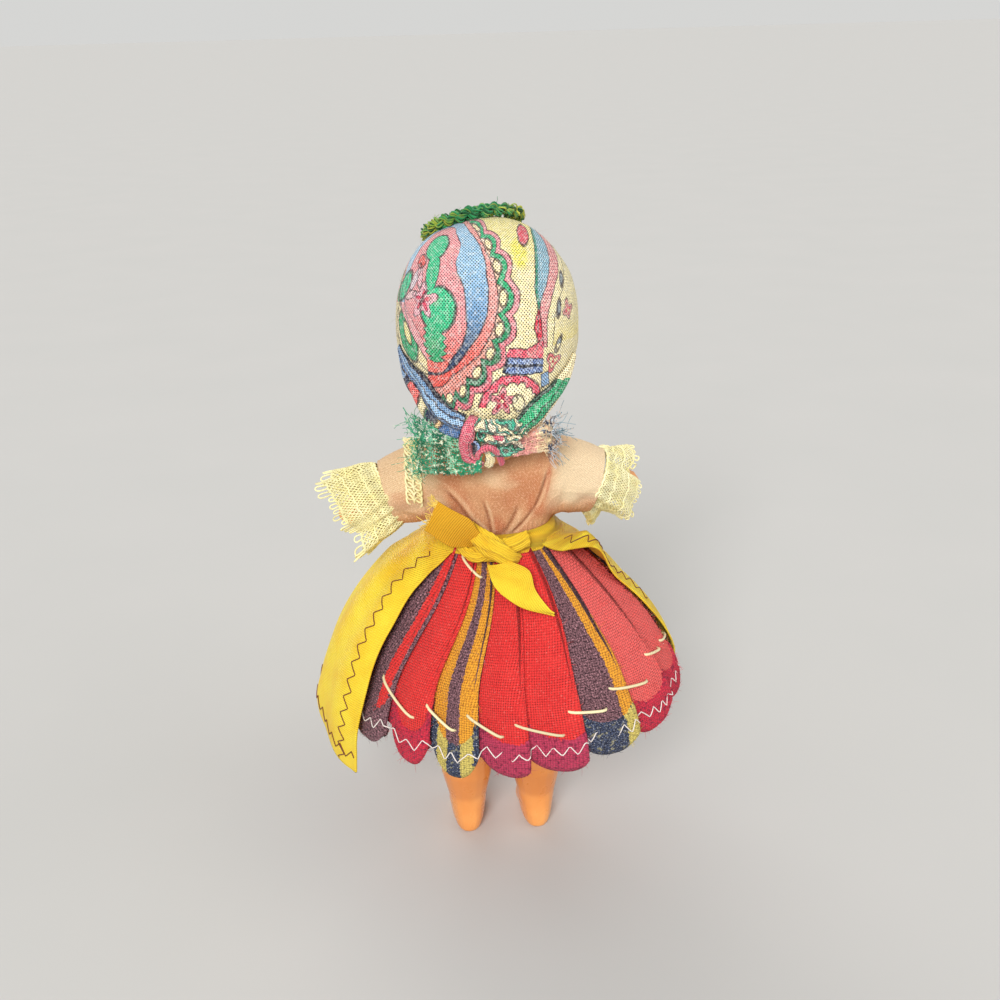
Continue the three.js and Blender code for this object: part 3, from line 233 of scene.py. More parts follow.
def read(items, attribute, width, kind=float):
    """An attribute of all of a mesh's vertices, faces or corners, as rows of numbers."""
    values = np.zeros(len(items) * width, kind)
    items.foreach_get(attribute, values)
    return values.reshape(-1, width)


def surface_samples(piece, count, seed):
    """Points spread evenly by area over a piece, with their normals and the UVs there."""
    depsgraph = bpy.context.evaluated_depsgraph_get()
    held = piece.evaluated_get(depsgraph)
    mesh = held.to_mesh()
    mesh.calc_loop_triangles()
    corners, loops = (read(mesh.loop_triangles, kind, 3, np.int32) for kind in ("vertices", "loops"))
    area = read(mesh.loop_triangles, "area", 1)[:, 0]
    at = read(mesh.vertices, "co", 3) / MM
    rng = np.random.default_rng(seed)
    chosen = rng.choice(len(area), count, p=area / area.sum())
    a, b = rng.random((2, count))
    over = a + b > 1
    a[over], b[over] = 1 - a[over], 1 - b[over]
    share = np.stack([1 - a - b, a, b], -1)
    corner = at[corners[chosen]]
    found = (corner * share[..., None]).sum(1)
    normal = unit(np.cross(corner[:, 1] - corner[:, 0], corner[:, 2] - corner[:, 0]))
    uvs = {}
    for layer in mesh.uv_layers:
        pairs = read(layer.data, "uv", 2, np.float32)[loops[chosen]]
        uvs[layer.name] = (pairs * share[..., None]).sum(1)
    held.to_mesh_clear()
    return found, normal, uvs


FIBRE_LEAN = 0.9


def fuzz(name, piece, count, length, radius, material, seed, keep=None):
    """Short curled fibres over a piece, each coloured as the cloth is at its root."""
    root, normal, uvs = surface_samples(piece, count, seed)
    if keep is not None:
        kept = keep(root)
        root, normal, uvs = root[kept], normal[kept], {n: p[kept] for n, p in uvs.items()}
    rng = np.random.default_rng(seed + 1)
    size = (len(root), 3)
    aim = unit(normal + FIBRE_LEAN * rng.normal(size=size))
    aim = np.where((aim * normal).sum(-1, keepdims=True) < 0.1, unit(aim + normal), aim)
    reach = length * (0.4 + rng.random((len(root), 1, 1)) ** 2)
    step = np.linspace(0, 1, 4)[None, :, None]
    curl = rng.normal(size=size)[:, None] * 0.35 * step**2
    paths = root[:, None] + reach * (step * aim[:, None] + curl) - 0.05 * normal[:, None]
    taper = radius * np.array([1, 0.9, 0.7, 0.25])
    return strand_mesh(name, paths, taper[None], material, sides=3, uvs=uvs)


# Materials: shader nodes written as arithmetic

def rgb(code):
    """The linear colour of a hex sRGB code."""
    part = [int(code[k : k + 2], 16) / 255 for k in (0, 2, 4)]
    return (*[c / 12.92 if c <= 0.04045 else ((c + 0.055) / 1.055) ** 2.4 for c in part], 1)


def feed(tree, socket, given):
    if isinstance(given, Value):
        tree.links.new(given.socket, socket)
    else:
        socket.default_value = rgb(given) if isinstance(given, str) else given


def add_node(tree, kind, inputs=(), output=0, **settings):
    """An output of a new node with those settings, its inputs fed from pairs of (name or number, value)."""
    node = tree.nodes.new(kind)
    for name, value in settings.items():
        setattr(node, name, value)
    for socket, given in inputs:
        feed(tree, node.inputs[socket], given)
    return Value(node.outputs[output], tree)


def arithmetic(operation):
    """A method that hands its own value, and then the others, to a math node."""
    def method(self, *others):
        return self.maths(operation, self, *others)
    return method


class Value:
    """A socket of a node tree, on which arithmetic adds more nodes."""

    def __init__(self, socket, tree):
        self.socket = socket
        self.tree = tree

    def maths(self, operation, *inputs):
        return add_node(self.tree, "ShaderNodeMath", enumerate(inputs), operation=operation)

    def __rsub__(self, other):
        return self.maths("SUBTRACT", other, self)

    __add__ = __radd__ = arithmetic("ADD")
    __mul__ = __rmul__ = arithmetic("MULTIPLY")
    __sub__, __truediv__ = map(arithmetic, ("SUBTRACT", "DIVIDE"))
    __lt__, __gt__ = map(arithmetic, ("LESS_THAN", "GREATER_THAN"))
    sin, cos, sqrt = map(arithmetic, ("SINE", "COSINE", "SQRT"))
    abs, fract, floor = map(arithmetic, ("ABSOLUTE", "FRACT", "FLOOR"))
    min, max, angle_to = map(arithmetic, ("MINIMUM", "MAXIMUM", "ARCTAN2"))

    def ease(self, low, high, at_low=0.0, at_high=1.0):
        inputs = enumerate((self, low, high, at_low, at_high))
        return add_node(self.tree, "ShaderNodeMapRange", inputs, interpolation_type="SMOOTHSTEP")

    def ramp(self, stops, smooth=False):
        """A colour for each stretch from one place to the next, as (place, hex) pairs."""
        node = self.tree.nodes.new("ShaderNodeValToRGB")
        node.color_ramp.interpolation = "LINEAR" if smooth else "CONSTANT"
        elements = node.color_ramp.elements
        while len(elements) < len(stops):
            elements.new(1)
        for element, (place, code) in zip(elements, stops):
            element.position = place
            element.color = rgb(code)
        feed(self.tree, node.inputs[0], self)
        return Value(node.outputs[0], self.tree)

    def stripes(self, *places):
        """1 up to the first place, 0 from there to the second, and so on."""
        return self.ramp([(place, "000000" if k % 2 else "ffffff") for k, place in enumerate((0, *places))])

    def along(self, pairs):
        """A smooth value through (place, value) pairs, for places and values from 0 to 1."""
        node = self.tree.nodes.new("ShaderNodeFloatCurve")
        curve = node.mapping.curves[0]
        while len(curve.points) < len(pairs):
            curve.points.new(0.5, 0.5)
        for point, (place, value) in zip(curve.points, pairs):
            point.location = (place, value)
        node.mapping.update()
        feed(self.tree, node.inputs[1], self)
        return Value(node.outputs[0], self.tree)


class Finish:
    """A material whose colour, roughness and height are built from values."""

    def __init__(self, name, roughness=0.8, **sockets):
        self.material = bpy.data.materials.new(name)
        self.material.use_nodes = True
        self.tree = self.material.node_tree
        self.shader = self.tree.nodes["Principled BSDF"]
        self.shader.inputs["Roughness"].default_value = roughness
        for socket, value in sockets.items():
            self.shader.inputs[socket.replace("_", " ")].default_value = value

    def node(self, kind, inputs=(), output=0, **settings):
        return add_node(self.tree, kind, inputs, output, **settings)

    def uv(self, layer):
        return self.split(self.node("ShaderNodeUVMap", uv_map=layer))

    def split(self, vector):
        node = self.tree.nodes.new("ShaderNodeSeparateXYZ")
        feed(self.tree, node.inputs[0], vector)
        return [Value(output, self.tree) for output in node.outputs]

    def join(self, x, y, z=0.0):
        return self.node("ShaderNodeCombineXYZ", enumerate((x, y, z)))

    def place(self):
        """Object coordinates in mm. A piece's object sits at the origin, so they are the row frame's."""
        return self.shade(self.node("ShaderNodeTexCoord", output="Object"), 1 / MM)

    def point_value(self, name):
        return self.node("ShaderNodeAttribute", output="Fac", attribute_name=name)

    def clouds(self, at, size, detail=2.0):
        """Noise from 0 to 1 with features of that size, at a place in mm."""
        return self.node("ShaderNodeTexNoise", [("Scale", 1 / size), ("Detail", detail), ("Vector", at)])

    def mix(self, a, b, share):
        return self.node("ShaderNodeMix", [("Factor", share), (6, a), (7, b)], 2, data_type="RGBA")

    def mix_value(self, a, b, share):
        """One value or the other: a where share is 0, b where it is 1."""
        return self.node("ShaderNodeMix", [(0, share), (2, a), (3, b)])

    def shade(self, colour, strength):
        """A colour made darker or lighter by a value round 1."""
        return self.node("ShaderNodeVectorMath", [(0, colour), ("Scale", strength)], operation="SCALE")

    def done(self, colour, height=None, depth=0.1, roughness=None):
        """Height is from 0 to 1, and depth is how much relief that is, in mm."""
        feed(self.tree, self.shader.inputs["Base Color"], colour)
        if roughness is not None:
            feed(self.tree, self.shader.inputs["Roughness"], roughness)
        if height is not None:
            bump = self.tree.nodes.new("ShaderNodeBump")
            bump.inputs["Distance"].default_value = depth * MM
            feed(self.tree, bump.inputs["Height"], height)
            self.tree.links.new(bump.outputs[0], self.shader.inputs["Normal"])
        return self.material


def plain_weave(across, along, pitch):
    """A plain weave's height, its threads' edges and the holes at their corners, each from 0 to 1."""
    a = (across * (math.pi / pitch)).sin()
    b = (along * (math.pi / pitch)).sin()
    over = (a * b) > 0
    height = over * a.abs() + (1 - over) * b.abs()
    edge = (1 - a.abs()).max(1 - b.abs())
    hole = (1 - a.abs()).min(1 - b.abs())
    return height, edge, hole


# Stage

CAMERA_PLACE = np.array([17.3, 273.3, 202.0])
CAMERA_LENS = 42.73
CAMERA_YAW, CAMERA_PITCH, CAMERA_ROLL = math.radians(4), math.radians(21.6), math.radians(-1.6)
FLOOR_SIDE = 2e5


def turn_to(item, across, upward, back, place=(0, 0, 0)):
    """Puts an object at a place in mm, with its own axes along those directions."""
    matrix = np.eye(4)
    matrix[:3, :3] = np.stack([across, upward, back], 1)
    matrix[:3, 3] = np.array(place) * MM
    item.matrix_world = Matrix(matrix)
    scene.collection.objects.link(item)


def add_camera():
    lens = bpy.data.cameras.new("camera")
    lens.sensor_width = 36
    lens.lens = CAMERA_LENS
    lens.clip_start = 0.01
    aim = np.array([-math.sin(CAMERA_YAW) * math.cos(CAMERA_PITCH),
                    -math.cos(CAMERA_YAW) * math.cos(CAMERA_PITCH),
                    -math.sin(CAMERA_PITCH)])
    level = unit(np.cross(aim, [0, 0, 1]))
    across = level * math.cos(CAMERA_ROLL) + np.cross(level, aim) * math.sin(CAMERA_ROLL)
    scene.camera = bpy.data.objects.new("camera", lens)
    turn_to(scene.camera, across, np.cross(across, aim), -aim, CAMERA_PLACE)


def add_sun(name, place, width, strength):
    """A far, soft lamp that shines from a place towards the doll."""
    light = bpy.data.lights.new(name, "SUN")
    light.angle = math.radians(width)
    light.energy = strength
    back = unit(place)
    across = unit(np.cross([0, 0, 1], back))
    turn_to(bpy.data.objects.new(name, light), across, np.cross(back, across), back)


def add_stage():
    scene.view_settings.view_transform = "Standard"
    world = bpy.data.worlds.new("studio")
    world.use_nodes = True
    scene.world = world
    tree = world.node_tree
    background = tree.nodes["Background"]
    background.inputs["Color"].default_value = rgb("f4f4f2")
    path = tree.nodes.new("ShaderNodeLightPath")
    seen = Value(path.outputs["Is Camera Ray"], tree)
    for output in ("Is Glossy Ray", "Is Transmission Ray"):
        seen = seen.max(Value(path.outputs[output], tree))
    feed(tree, background.inputs["Strength"], seen * 0.22 + 0.52)
    add_sun("key", (0.3, 1.0, 0.6), 24, 2.6)
    add_sun("fill", (-0.9, 0.35, 0.4), 60, 0.8)
    add_sun("front", (0.3, -1.0, 0.5), 50, 1.3)
    floor_finish = Finish("floor", 1.0, Specular_IOR_Level=0.0)
    mottle = floor_finish.clouds(floor_finish.place(), 60)
    side = FLOOR_SIDE / 2
    corners = [[-side, -side, 0], [side, -side, 0], [side, side, 0], [-side, side, 0]]
    grey = floor_finish.done(floor_finish.mix("c6c5c2", "cac8c5", mottle))
    floor = make_mesh("floor", corners, [[0, 1, 2, 3]], grey)


add_camera()
add_stage()


# Skirt

HIP_HEIGHT = 66
SKIRT_TOP = 86
HEM_HEIGHT = 42.4
HEM_BAND = 8.5
# Half sizes across and from back to front at the waist and at the hem, and how squared-off the oval is.
SKIRT_WIDTHS = (14.3, 42)
SKIRT_DEPTHS = (11.1, 39.2)
SKIRT_SQUARENESS = (2.3, 2)
SKIRT_STANDOFF = 1.3
PLEAT_DEPTH = 2.2
PLEATS = 18
# Where each pleat ends on its right as seen from behind, in degrees from the back towards the left side.
SEEN_EDGES = [43, 27, 11.5, -3.5, -21.5, -41.8, -63.5]
HIDDEN_STEP = (360 - SEEN_EDGES[0] + SEEN_EDGES[-1]) / (PLEATS - len(SEEN_EDGES) + 1)
HIDDEN_EDGES = [SEEN_EDGES[-1] - HIDDEN_STEP * k for k in range(1, PLEATS - len(SEEN_EDGES) + 2)]
PLEAT_EDGES = np.array(SEEN_EDGES + HIDDEN_EDGES)
# How far each of those edges turns from its place at the hem to its place at the waist.
EDGE_TURNS = np.array([-12, -13, -9, -5, -5] + [0] * (PLEATS - 5) + [-12])
PETAL_DEPTHS = np.array([7, 6, 2.4, 2.2, 2.8, 4.2] + [4.5, 5] * 6)
PETAL_LOWS = np.array([41.8, 40.6, 41.4, 41.0, 41.6, 41.2, 41.6, 42, 41, 42, 41.5, 42, 41, 41.5, 42, 41, 42,
                       43.6])
PETAL_SKEWS = np.array([0, -0.6, 3.0, 2.6, 0.8, -0.6, 0.5, -0.5, 0.8, 0, -0.8, 0.5, 0, 0.8, -0.5, 0, 0.6, 0])
# One pleat's fold, as (share of the cloth, share of the way across, share of the depth).
FOLD_ACROSS = track([(0, -0.14), (0.1, 0), (0.5, 0.45), (0.8, 0.84), (0.88, 0.97), (0.92, 1.0), (0.96, 0.95),
                     (1, 0.86)])
FOLD_OUT = track([(0, 0.0), (0.1, 0.1), (0.5, 0.66), (0.8, 0.98), (0.88, 1.0), (0.92, 0.8), (0.96, 0.5),
                  (1, 0.0)])


def squared_oval(angle, width, depth, power):
    """x and y on a squared-off oval, at an angle from the back."""
    across, back = np.sin(angle), np.cos(angle)
    return width * np.sign(across) * np.abs(across) ** power, depth * np.sign(back) * np.abs(back) ** power


def skirt_point(angle, z, offset):
    share = np.clip((SKIRT_TOP - z) / (SKIRT_TOP - HEM_HEIGHT), 0, 1)
    flare = 1 - (1 - share) ** 1.7
    width, depth, squareness = (lerp(*pair, flare) for pair in (SKIRT_WIDTHS, SKIRT_DEPTHS, SKIRT_SQUARENESS))
    x, y = squared_oval(angle, width + offset, depth + offset, 2 / squareness)
    return points(x - 1.6 * flare, y + 0.6 * flare, z)


def pleat_depth(z):
    return PLEAT_DEPTH * np.minimum(1, 0.1 + (SKIRT_TOP - z) / (SKIRT_TOP - HEM_HEIGHT))


def hem_low(count, across):
    """The height of a petal's lower edge."""
    across = np.clip(across, 0, 1)
    middle = np.abs(2 * across - 1)
    return PETAL_LOWS[count] + PETAL_DEPTHS[count] * middle**2.6 + PETAL_SKEWS[count] * (0.5 - across)


def skirt_place(u, v):
    """The angle, height and offset at a share of the way round and of the way down to the hem."""
    count = np.minimum(np.floor(u * PLEATS), PLEATS - 1).astype(int)
    share = u * PLEATS - count
    across = FOLD_ACROSS(share)
    low = hem_low(count, across)
    z = lerp(SKIRT_TOP, low, v)
    waist = smoothstep(z, 58, 84)
    first, last = (PLEAT_EDGES[k] + EDGE_TURNS[k] * waist for k in (count, count + 1))
    angle = np.radians(lerp(first, last, across))
    hem = np.clip((low + HEM_BAND - z) / HEM_BAND, 0, 1)
    band = 0.55 * smoothstep(hem, 0, 0.1) * (1 - 0.5 * smoothstep(hem, 0.8, 1))
    tuck = -1.1 * smoothstep(v, 0.965, 1) * (1 - FOLD_OUT(share) * 0.3)
    waves = 0.35 * noise(points(angle * 30, z, count * 5.0), 7, 3) * smoothstep(v, 0.1, 0.5)
    offset = SKIRT_STANDOFF + pleat_depth(z) * FOLD_OUT(share) + band + tuck + waves
    return angle, z, offset


def skirt_surface(u, v):
    return skirt_point(*skirt_place(u, v))


def skirt_pattern(u, v):
    z = skirt_place(u, v)[1]
    count = np.minimum(np.floor(u * PLEATS), PLEATS - 1)
    share = u * PLEATS - count
    width = lerp(7, 15, np.clip((SKIRT_TOP - z) / 30, 0, 1))
    low = skirt_place(u, np.ones_like(v))[1]
    return {"pleats": (count + share, z - low), "weave": (count * 40 + share * width, z * 1.15)}


def wool_finish(name, fuzzy=False):
    f = Finish(name, 0.95, Sheen_Weight=0.06, Sheen_Roughness=0.6, Specular_IOR_Level=0.08)
    pleats, above, _ = f.uv("pleats")
    across, along, _ = f.uv("weave")
    at = f.join(across, along)
    rag = f.clouds(at, 0.8) - 0.5
    pleat = pleats.floor()
    share = pleats.fract() + rag * 0.09
    striped = ((pleat / 3 + 0.01).fract() - 0.34).abs() < 0.05
    broad = (pleat / 6 + 0.01).fract() > 0.6
    # Where the dark wool lies across a pleat with two orange stripes, and across one with a single stripe.
    two = share.stripes(0.07, 0.35, 0.61, 0.9)
    one = (share + above.ease(16, 42, 0, 0.2)).stripes(0.71, 0.96)
    dark = f.mix(two, one, broad)
    fibre = f.clouds(f.join(across * 1.4 + along * 0.5, along * 0.9), 0.5, 3)
    shadowy = f.mix("3a242b", "8d656c", fibre.ease(0.36, 0.6))
    pale = f.clouds(f.join(along * 1.6, across * 0.8), 0.42, 1)
    shadowy = f.mix(shadowy, "cf98a0", pale.ease(0.57, 0.68) * 0.75)
    speck = f.clouds(at, 0.45, 3)
    orange = f.mix("f0a636", "b8702a", speck.ease(0.5, 0.7))
    red = f.mix("f0443f", "dc2f30", f.clouds(at, 5))
    red = f.mix(red, "b51f26", speck.ease(0.6, 0.75) * 0.6)
    red = f.mix(red, "f58a80", f.clouds(f.join(along * 1.3, across * 0.9), 0.5, 2).ease(0.58, 0.72) * 0.45)
    # A painted highlight, pinker, on pleats 5 to 7.
    red = f.mix(red, "ff9f98", ((pleat - 6).abs() < 1.2) * 0.3)
    last = (pleat > 16.5) * ((share > 0.2) * (share < 0.7) + (share > 0.84) * (share < 0.94))
    body = f.mix(f.mix(red, f.mix(orange, shadowy, dark), striped), shadowy, last)
    # The turned-up band shows the wool's other side.
    middle = (pleat - 2.5).abs() < 0.7
    red_hem = f.mix(f.mix("cf3348", "bd3f5c", middle), "7f2842", f.clouds(at, 0.9, 3).ease(0.5, 0.66) * 0.85)
    navy = f.mix("23273a", "4a5470", fibre.ease(0.4, 0.62))
    navy = f.mix(navy, "b4b7c0", f.clouds(f.join(along * 1.5, across), 0.4, 1).ease(0.56, 0.7) * 0.7)
    navy = f.mix(navy, "bdb48a", f.clouds(at, 1.3, 3).ease(0.56, 0.68) * 0.6)
    yellow = f.mix("d8c46a", "8d8350", speck.ease(0.5, 0.68))
    two_hem = share.stripes(0.18, 0.4, 0.64, 0.82)
    one_hem = share.stripes(0.72, 0.95)
    striped_hem = f.mix(yellow, navy, f.mix(two_hem, one_hem, broad))
    hem = (above + rag * 1.6) < HEM_BAND
    turned = f.mix(f.mix(red_hem, striped_hem, striped), shadowy, pleat > 16.5)
    colour = f.mix(body, turned, hem)
    if fuzzy:
        return f.done(f.shade(colour, 0.9 + f.point_value("tint") * 0.6))
    height, edge, hole = plain_weave(across, along, 0.58)
    pin = hole.ease(0.3, 0.7) * (1 - hem * 0.7) * (0.3 + 0.65 * f.clouds(at, 4).ease(0.42, 0.6))
    colour = f.shade(colour, (1 - 0.7 * pin) * (1 - 0.14 * edge) * (0.9 + 0.3 * f.clouds(at, 0.6, 4)))
    return f.done(colour, height * 0.5 + f.clouds(at, 0.5, 4) * 0.9 + f.clouds(at, 1.4) * 0.6, 0.4)


def thread_finish(name, code):
    f = Finish(name, 0.6)
    return f.done(f.shade(f.mix(code, code, 0.5), 0.8 + f.point_value("tint") * 0.35))


def on_skirt(degrees, z, lift):
    """A point lift mm outside the skirt's pleats."""
    angle = np.radians(degrees)
    return skirt_point(angle, z, SKIRT_STANDOFF + pleat_depth(z) + lift)


def pleat_at(degrees):
    """Which pleat an angle is in, and how far across it."""
    turned = PLEAT_EDGES[0] - np.mod(PLEAT_EDGES[0] - np.asarray(degrees, float), 360)
    count = np.clip(np.searchsorted(-PLEAT_EDGES, -turned, side="right") - 1, 0, PLEATS - 1)
    return count, (turned - PLEAT_EDGES[count]) / (PLEAT_EDGES[count + 1] - PLEAT_EDGES[count])


def skirt_lift(degrees):
    """The fold's share of the depth where the cloth shows at an angle."""
    _, across = pleat_at(degrees)
    shares = np.linspace(0.08, 0.92, 60)
    return np.interp(across, FOLD_ACROSS(shares), FOLD_OUT(shares))


def make_skirt():
    wool = wool_finish("skirt_wool")
    skirt = sheet_mesh("skirt_cloth", skirt_surface, PLEATS * 28, 110, wool, 0.9, skirt_pattern, flip=True)
    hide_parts("skirt")
    nap = fuzz("skirt_nap", skirt, 26000, 1.15, 0.04, wool_finish("skirt_nap", fuzzy=True), 5,
               keep=lambda at: np.linalg.norm(at[:, :2], axis=1) > 13)
    # The long tacking stitches above the hem, as (degrees, height) of their two ends.
    tacks = [((51, 60), (33, 53)), ((30, 57), (19, 52)), ((16, 56), (4, 51)), ((1.5, 54), (-15, 50)),
             ((-16, 55), (-31, 53)), ((-33, 57), (-53, 54)), ((-57, 59), (-71, 56.5)),
             ((27.8, 85), (9.8, 80.8))]
    tacks += [((-75 - 21 * k, 57), (-90 - 21 * k, 54)) for k in range(10)]
    paths = []
    for (a, high), (b, low) in tacks:
        share = np.linspace(0, 1, 12)
        lift = 0.35 - 1.3 * np.abs(2 * share - 1) ** 8
        paths.append(on_skirt(lerp(a, b, share), lerp(high, low, share), lift))
    tack = strand_mesh("skirt_tacking", paths, 0.36, thread_finish("cream_cotton", "eadcae"), 6)
    # A machine zigzag on the turned-up hem.
    degrees = np.arange(0, 360, 0.625)
    count, across = pleat_at(degrees)
    uneven = noise(points(degrees, 0, 0), 6, 71)
    swing = np.abs(np.mod(degrees + 0.9 * uneven, 5) / 2.5 - 1) * 2 - 1
    settled = lerp(PETAL_LOWS[count] + 1.2, hem_low(count, across), 0.32)
    z = settled + 5.0 + (1.1 + 0.35 * noise(points(degrees, 9, 0), 4, 72)) * swing
    offset = SKIRT_STANDOFF + pleat_depth(z) * skirt_lift(degrees) + 0.66
    offset = offset + 0.3 * noise(points(degrees, 4, 0), 3, 73)
    line = skirt_point(np.radians(degrees), z, offset)
    white = thread_finish("white_thread", "ece2da")
    zigzag = strand_mesh("hem_zigzag", [line], 0.15, white, closed=True, guide=UP)
    for piece in (skirt, nap, tack, zigzag):
        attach(piece, "torso")
    return skirt, [nap, tack, zigzag]


skirt, skirt_trim = make_skirt()


# Apron

BODY_POWER = 2 / 2.3
TORSO_DEPTH = 9.4
TORSO_WIDTH = track([(-6, 12), (0, 15.8), (10, 14.6), (21, 12.6), (29.5, 14.1), (34.5, 15.2), (39, 13.1),
                     (44, 7.4)])


def waist_point(angle, z, reach):
    return points(*squared_oval(angle, TORSO_WIDTH(z - HIP_HEIGHT) + reach, TORSO_DEPTH + reach, BODY_POWER), z)


APRON_TOP = 85.7
APRON_GATHERS = 11
LEFT_EDGE = track([(0, 30), (0.05, 42), (0.12, 47.5), (0.3, 51), (0.6, 51.5), (1, 54)])
RIGHT_EDGE = track([(0, 327), (0.12, 303), (0.3, 282), (0.55, 274), (1, 262)])
# The corner that is turned up to the bow's right: where it is in degrees, and how far it stands off in mm.
CORNER_MIDDLE, CORNER_SPREAD = 300, 15
CORNER_OUT, CORNER_UP = 3.8, 5.6


def apron_surface(u, v, lift=0.6):
    degrees = lerp(LEFT_EDGE(v), RIGHT_EDGE(v), u)
    corner = np.exp(-((u / 0.12) ** 2))
    z = lerp(APRON_TOP, 42.5 - 7.5 * corner, v)
    fullness = (1 - 0.35 * v) * smoothstep(v, 0.02, 0.16)
    uneven = 0.8 * noise(points(u * 9, v * 3, 0), 1, 8)
    gathers = fullness / 2 * (1 - np.cos(u * TURN * APRON_GATHERS + uneven))
    hip = np.exp(-(((degrees - 82) / 40) ** 2))
    standing = smoothstep(v, 0.01, 0.14) * (1 - 0.7 * smoothstep(v, 0.35, 0.9))
    slack = 0.35 * noise(points(u * 60, v * 40, 0), 9, 12) * smoothstep(v, 0.08, 0.3)
    edge = 0.25 * smoothstep(0.012 - np.minimum(u, 1 - u), 0, 0.012)
    corner_up = np.exp(-(((degrees - CORNER_MIDDLE) / CORNER_SPREAD) ** 2)) * smoothstep(v, 0.005, 0.06)
    corner_up = corner_up * (1 - smoothstep(v, 0.07, 0.4))
    offset = SKIRT_STANDOFF + pleat_depth(z) + 0.9 + gathers + 3.4 * standing * hip + CORNER_OUT * corner_up
    offset = offset + slack + edge + lift
    at = skirt_point(np.radians(degrees), z, offset) + points(0, 0, CORNER_UP * corner_up)
    # The gathered top is caught under the waistband.
    caught = waist_point(np.radians(degrees), 87.2, 1.7 + lift)
    return lerp(caught, at, smoothstep(v, -0.012, 0.055)[..., None])


def ribbon_finish(name, turned=False, deep=0.0):
    # deep is the share of a painted shade, a deeper orange, laid over the whole piece.
    f = Finish(name, 0.55, Sheen_Weight=0.05, Specular_IOR_Level=0.2)
    across, along, _ = f.uv("cloth")
    if turned:
        across, along = along, across
    at = f.join(across, along)
    patch = f.clouds(at, 9, 3)
    _, _, z = f.split(f.place())
    colour = f.mix("f7ca2a", "fde03a", patch.ease(0.25, 0.7))
    colour = f.mix(colour, "e69a14", f.clouds(at, 15).ease(0.58, 0.85) * 0.35)
    # Painted shade: deeper orange over patches near the gathered top, and over the share deep of the whole
    # piece.
    gathered_top_shade = z.ease(74, 87) * f.clouds(at, 6).ease(0.35, 0.65)
    colour = f.mix(colour, "dc9d1c", (gathered_top_shade * 0.55).max(deep))
    rib = (along * (TURN / 0.55)).sin() * 0.5 + 0.5
    thread = (across * (TURN / 0.34)).sin() * 0.5 + 0.5
    colour = f.shade(colour, 0.84 + rib * 0.17 + thread * 0.06)
    return f.done(colour, rib * 0.8 + thread * 0.3 + f.clouds(at, 3, 3) * 1.2, 0.16)


def zigzag_path(surface, centre, pitch, swing):
    """A zigzag along a line on a surface, given as its (u, v) places, that swings in u."""
    at = surface(centre[:, 0], centre[:, 1])
    distance = np.concatenate([[0], np.cumsum(np.linalg.norm(np.diff(at, axis=0), axis=1))])
    spots = np.linspace(0, distance[-1], int(distance[-1] / pitch * 12))
    u, v = (np.interp(spots, distance, centre[:, k]) for k in (0, 1))
    wave = np.abs(np.mod(spots / pitch + 0.25, 1) * 2 - 1) * 2 - 1
    side_step = np.linalg.norm(surface(u + 1e-3, v) - surface(u, v), axis=-1) / 1e-3
    return surface(u + wave * swing / side_step, v)


APRON_THREAD = thread_finish("brown_thread", "6e2c1a")


def apron_seam(side, edge, inwards, line, inset, pitch, swing):
    """A zigzag sewn inset mm in from an edge of the apron, which is at 0 or 1 in u, or in v at the bottom."""
    def cloth(u, v, lift=0.6):
        return apron_surface(v, u, lift) if side == "bottom" else apron_surface(u, v, lift)

    width = np.linalg.norm(cloth(edge, line) - cloth(edge + inwards, line), axis=-1) / abs(inwards)
    centre = np.stack([edge + math.copysign(1, inwards) * inset / width, line], 1)
    path = zigzag_path(lambda u, v: cloth(u, v, 0.68), centre, pitch, swing)
    return strand_mesh(f"apron_zigzag_{side}", [path], 0.15, APRON_THREAD, 5)


def make_apron():
    def surface(u, v):
        return apron_surface(u, v**1.25)

    panel = sheet_mesh("apron_cloth", surface, APRON_GATHERS * 26, 120, ribbon_finish("apron_ribbon"), 0.45,
                       grid_pattern(surface))
    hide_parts("apron_panel")
    seams = [apron_seam("left", 0.0, 0.001, np.linspace(0.035, 0.985, 300), 5.6, 4.3, 1.3),
             apron_seam("right", 1.0, -0.001, np.linspace(0.035, 0.5, 200), 3.8, 4.4, 1.6),
             apron_seam("bottom", 1.0, -0.01, np.linspace(0.004, 0.996, 900), 4.2, 4.3, 1.3)]
    for piece in [panel, *seams]:
        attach(piece, "torso")
    return panel, seams


def band_surface(u, v):
    """Three soft lengthwise folds, twisting a little round the waist and opening over the skirt's top."""
    angle = u * TURN
    roll = np.sin(v * math.pi * 3 + 0.9 * np.sin(3 * angle) + 0.6 * np.sin(5 * angle + 1))
    bulge = np.sin(v * math.pi) ** 0.5
    reach = lerp(4.5, 1.9, smoothstep(v, 0, 0.8)) + 0.4 * bulge + 0.32 * roll * bulge
    z = 84.8 + 4.4 * v + 0.4 * (1 - np.cos(angle)) + 0.15 * np.sin(4 * angle + v * 5)
    return waist_point(angle, z, reach)


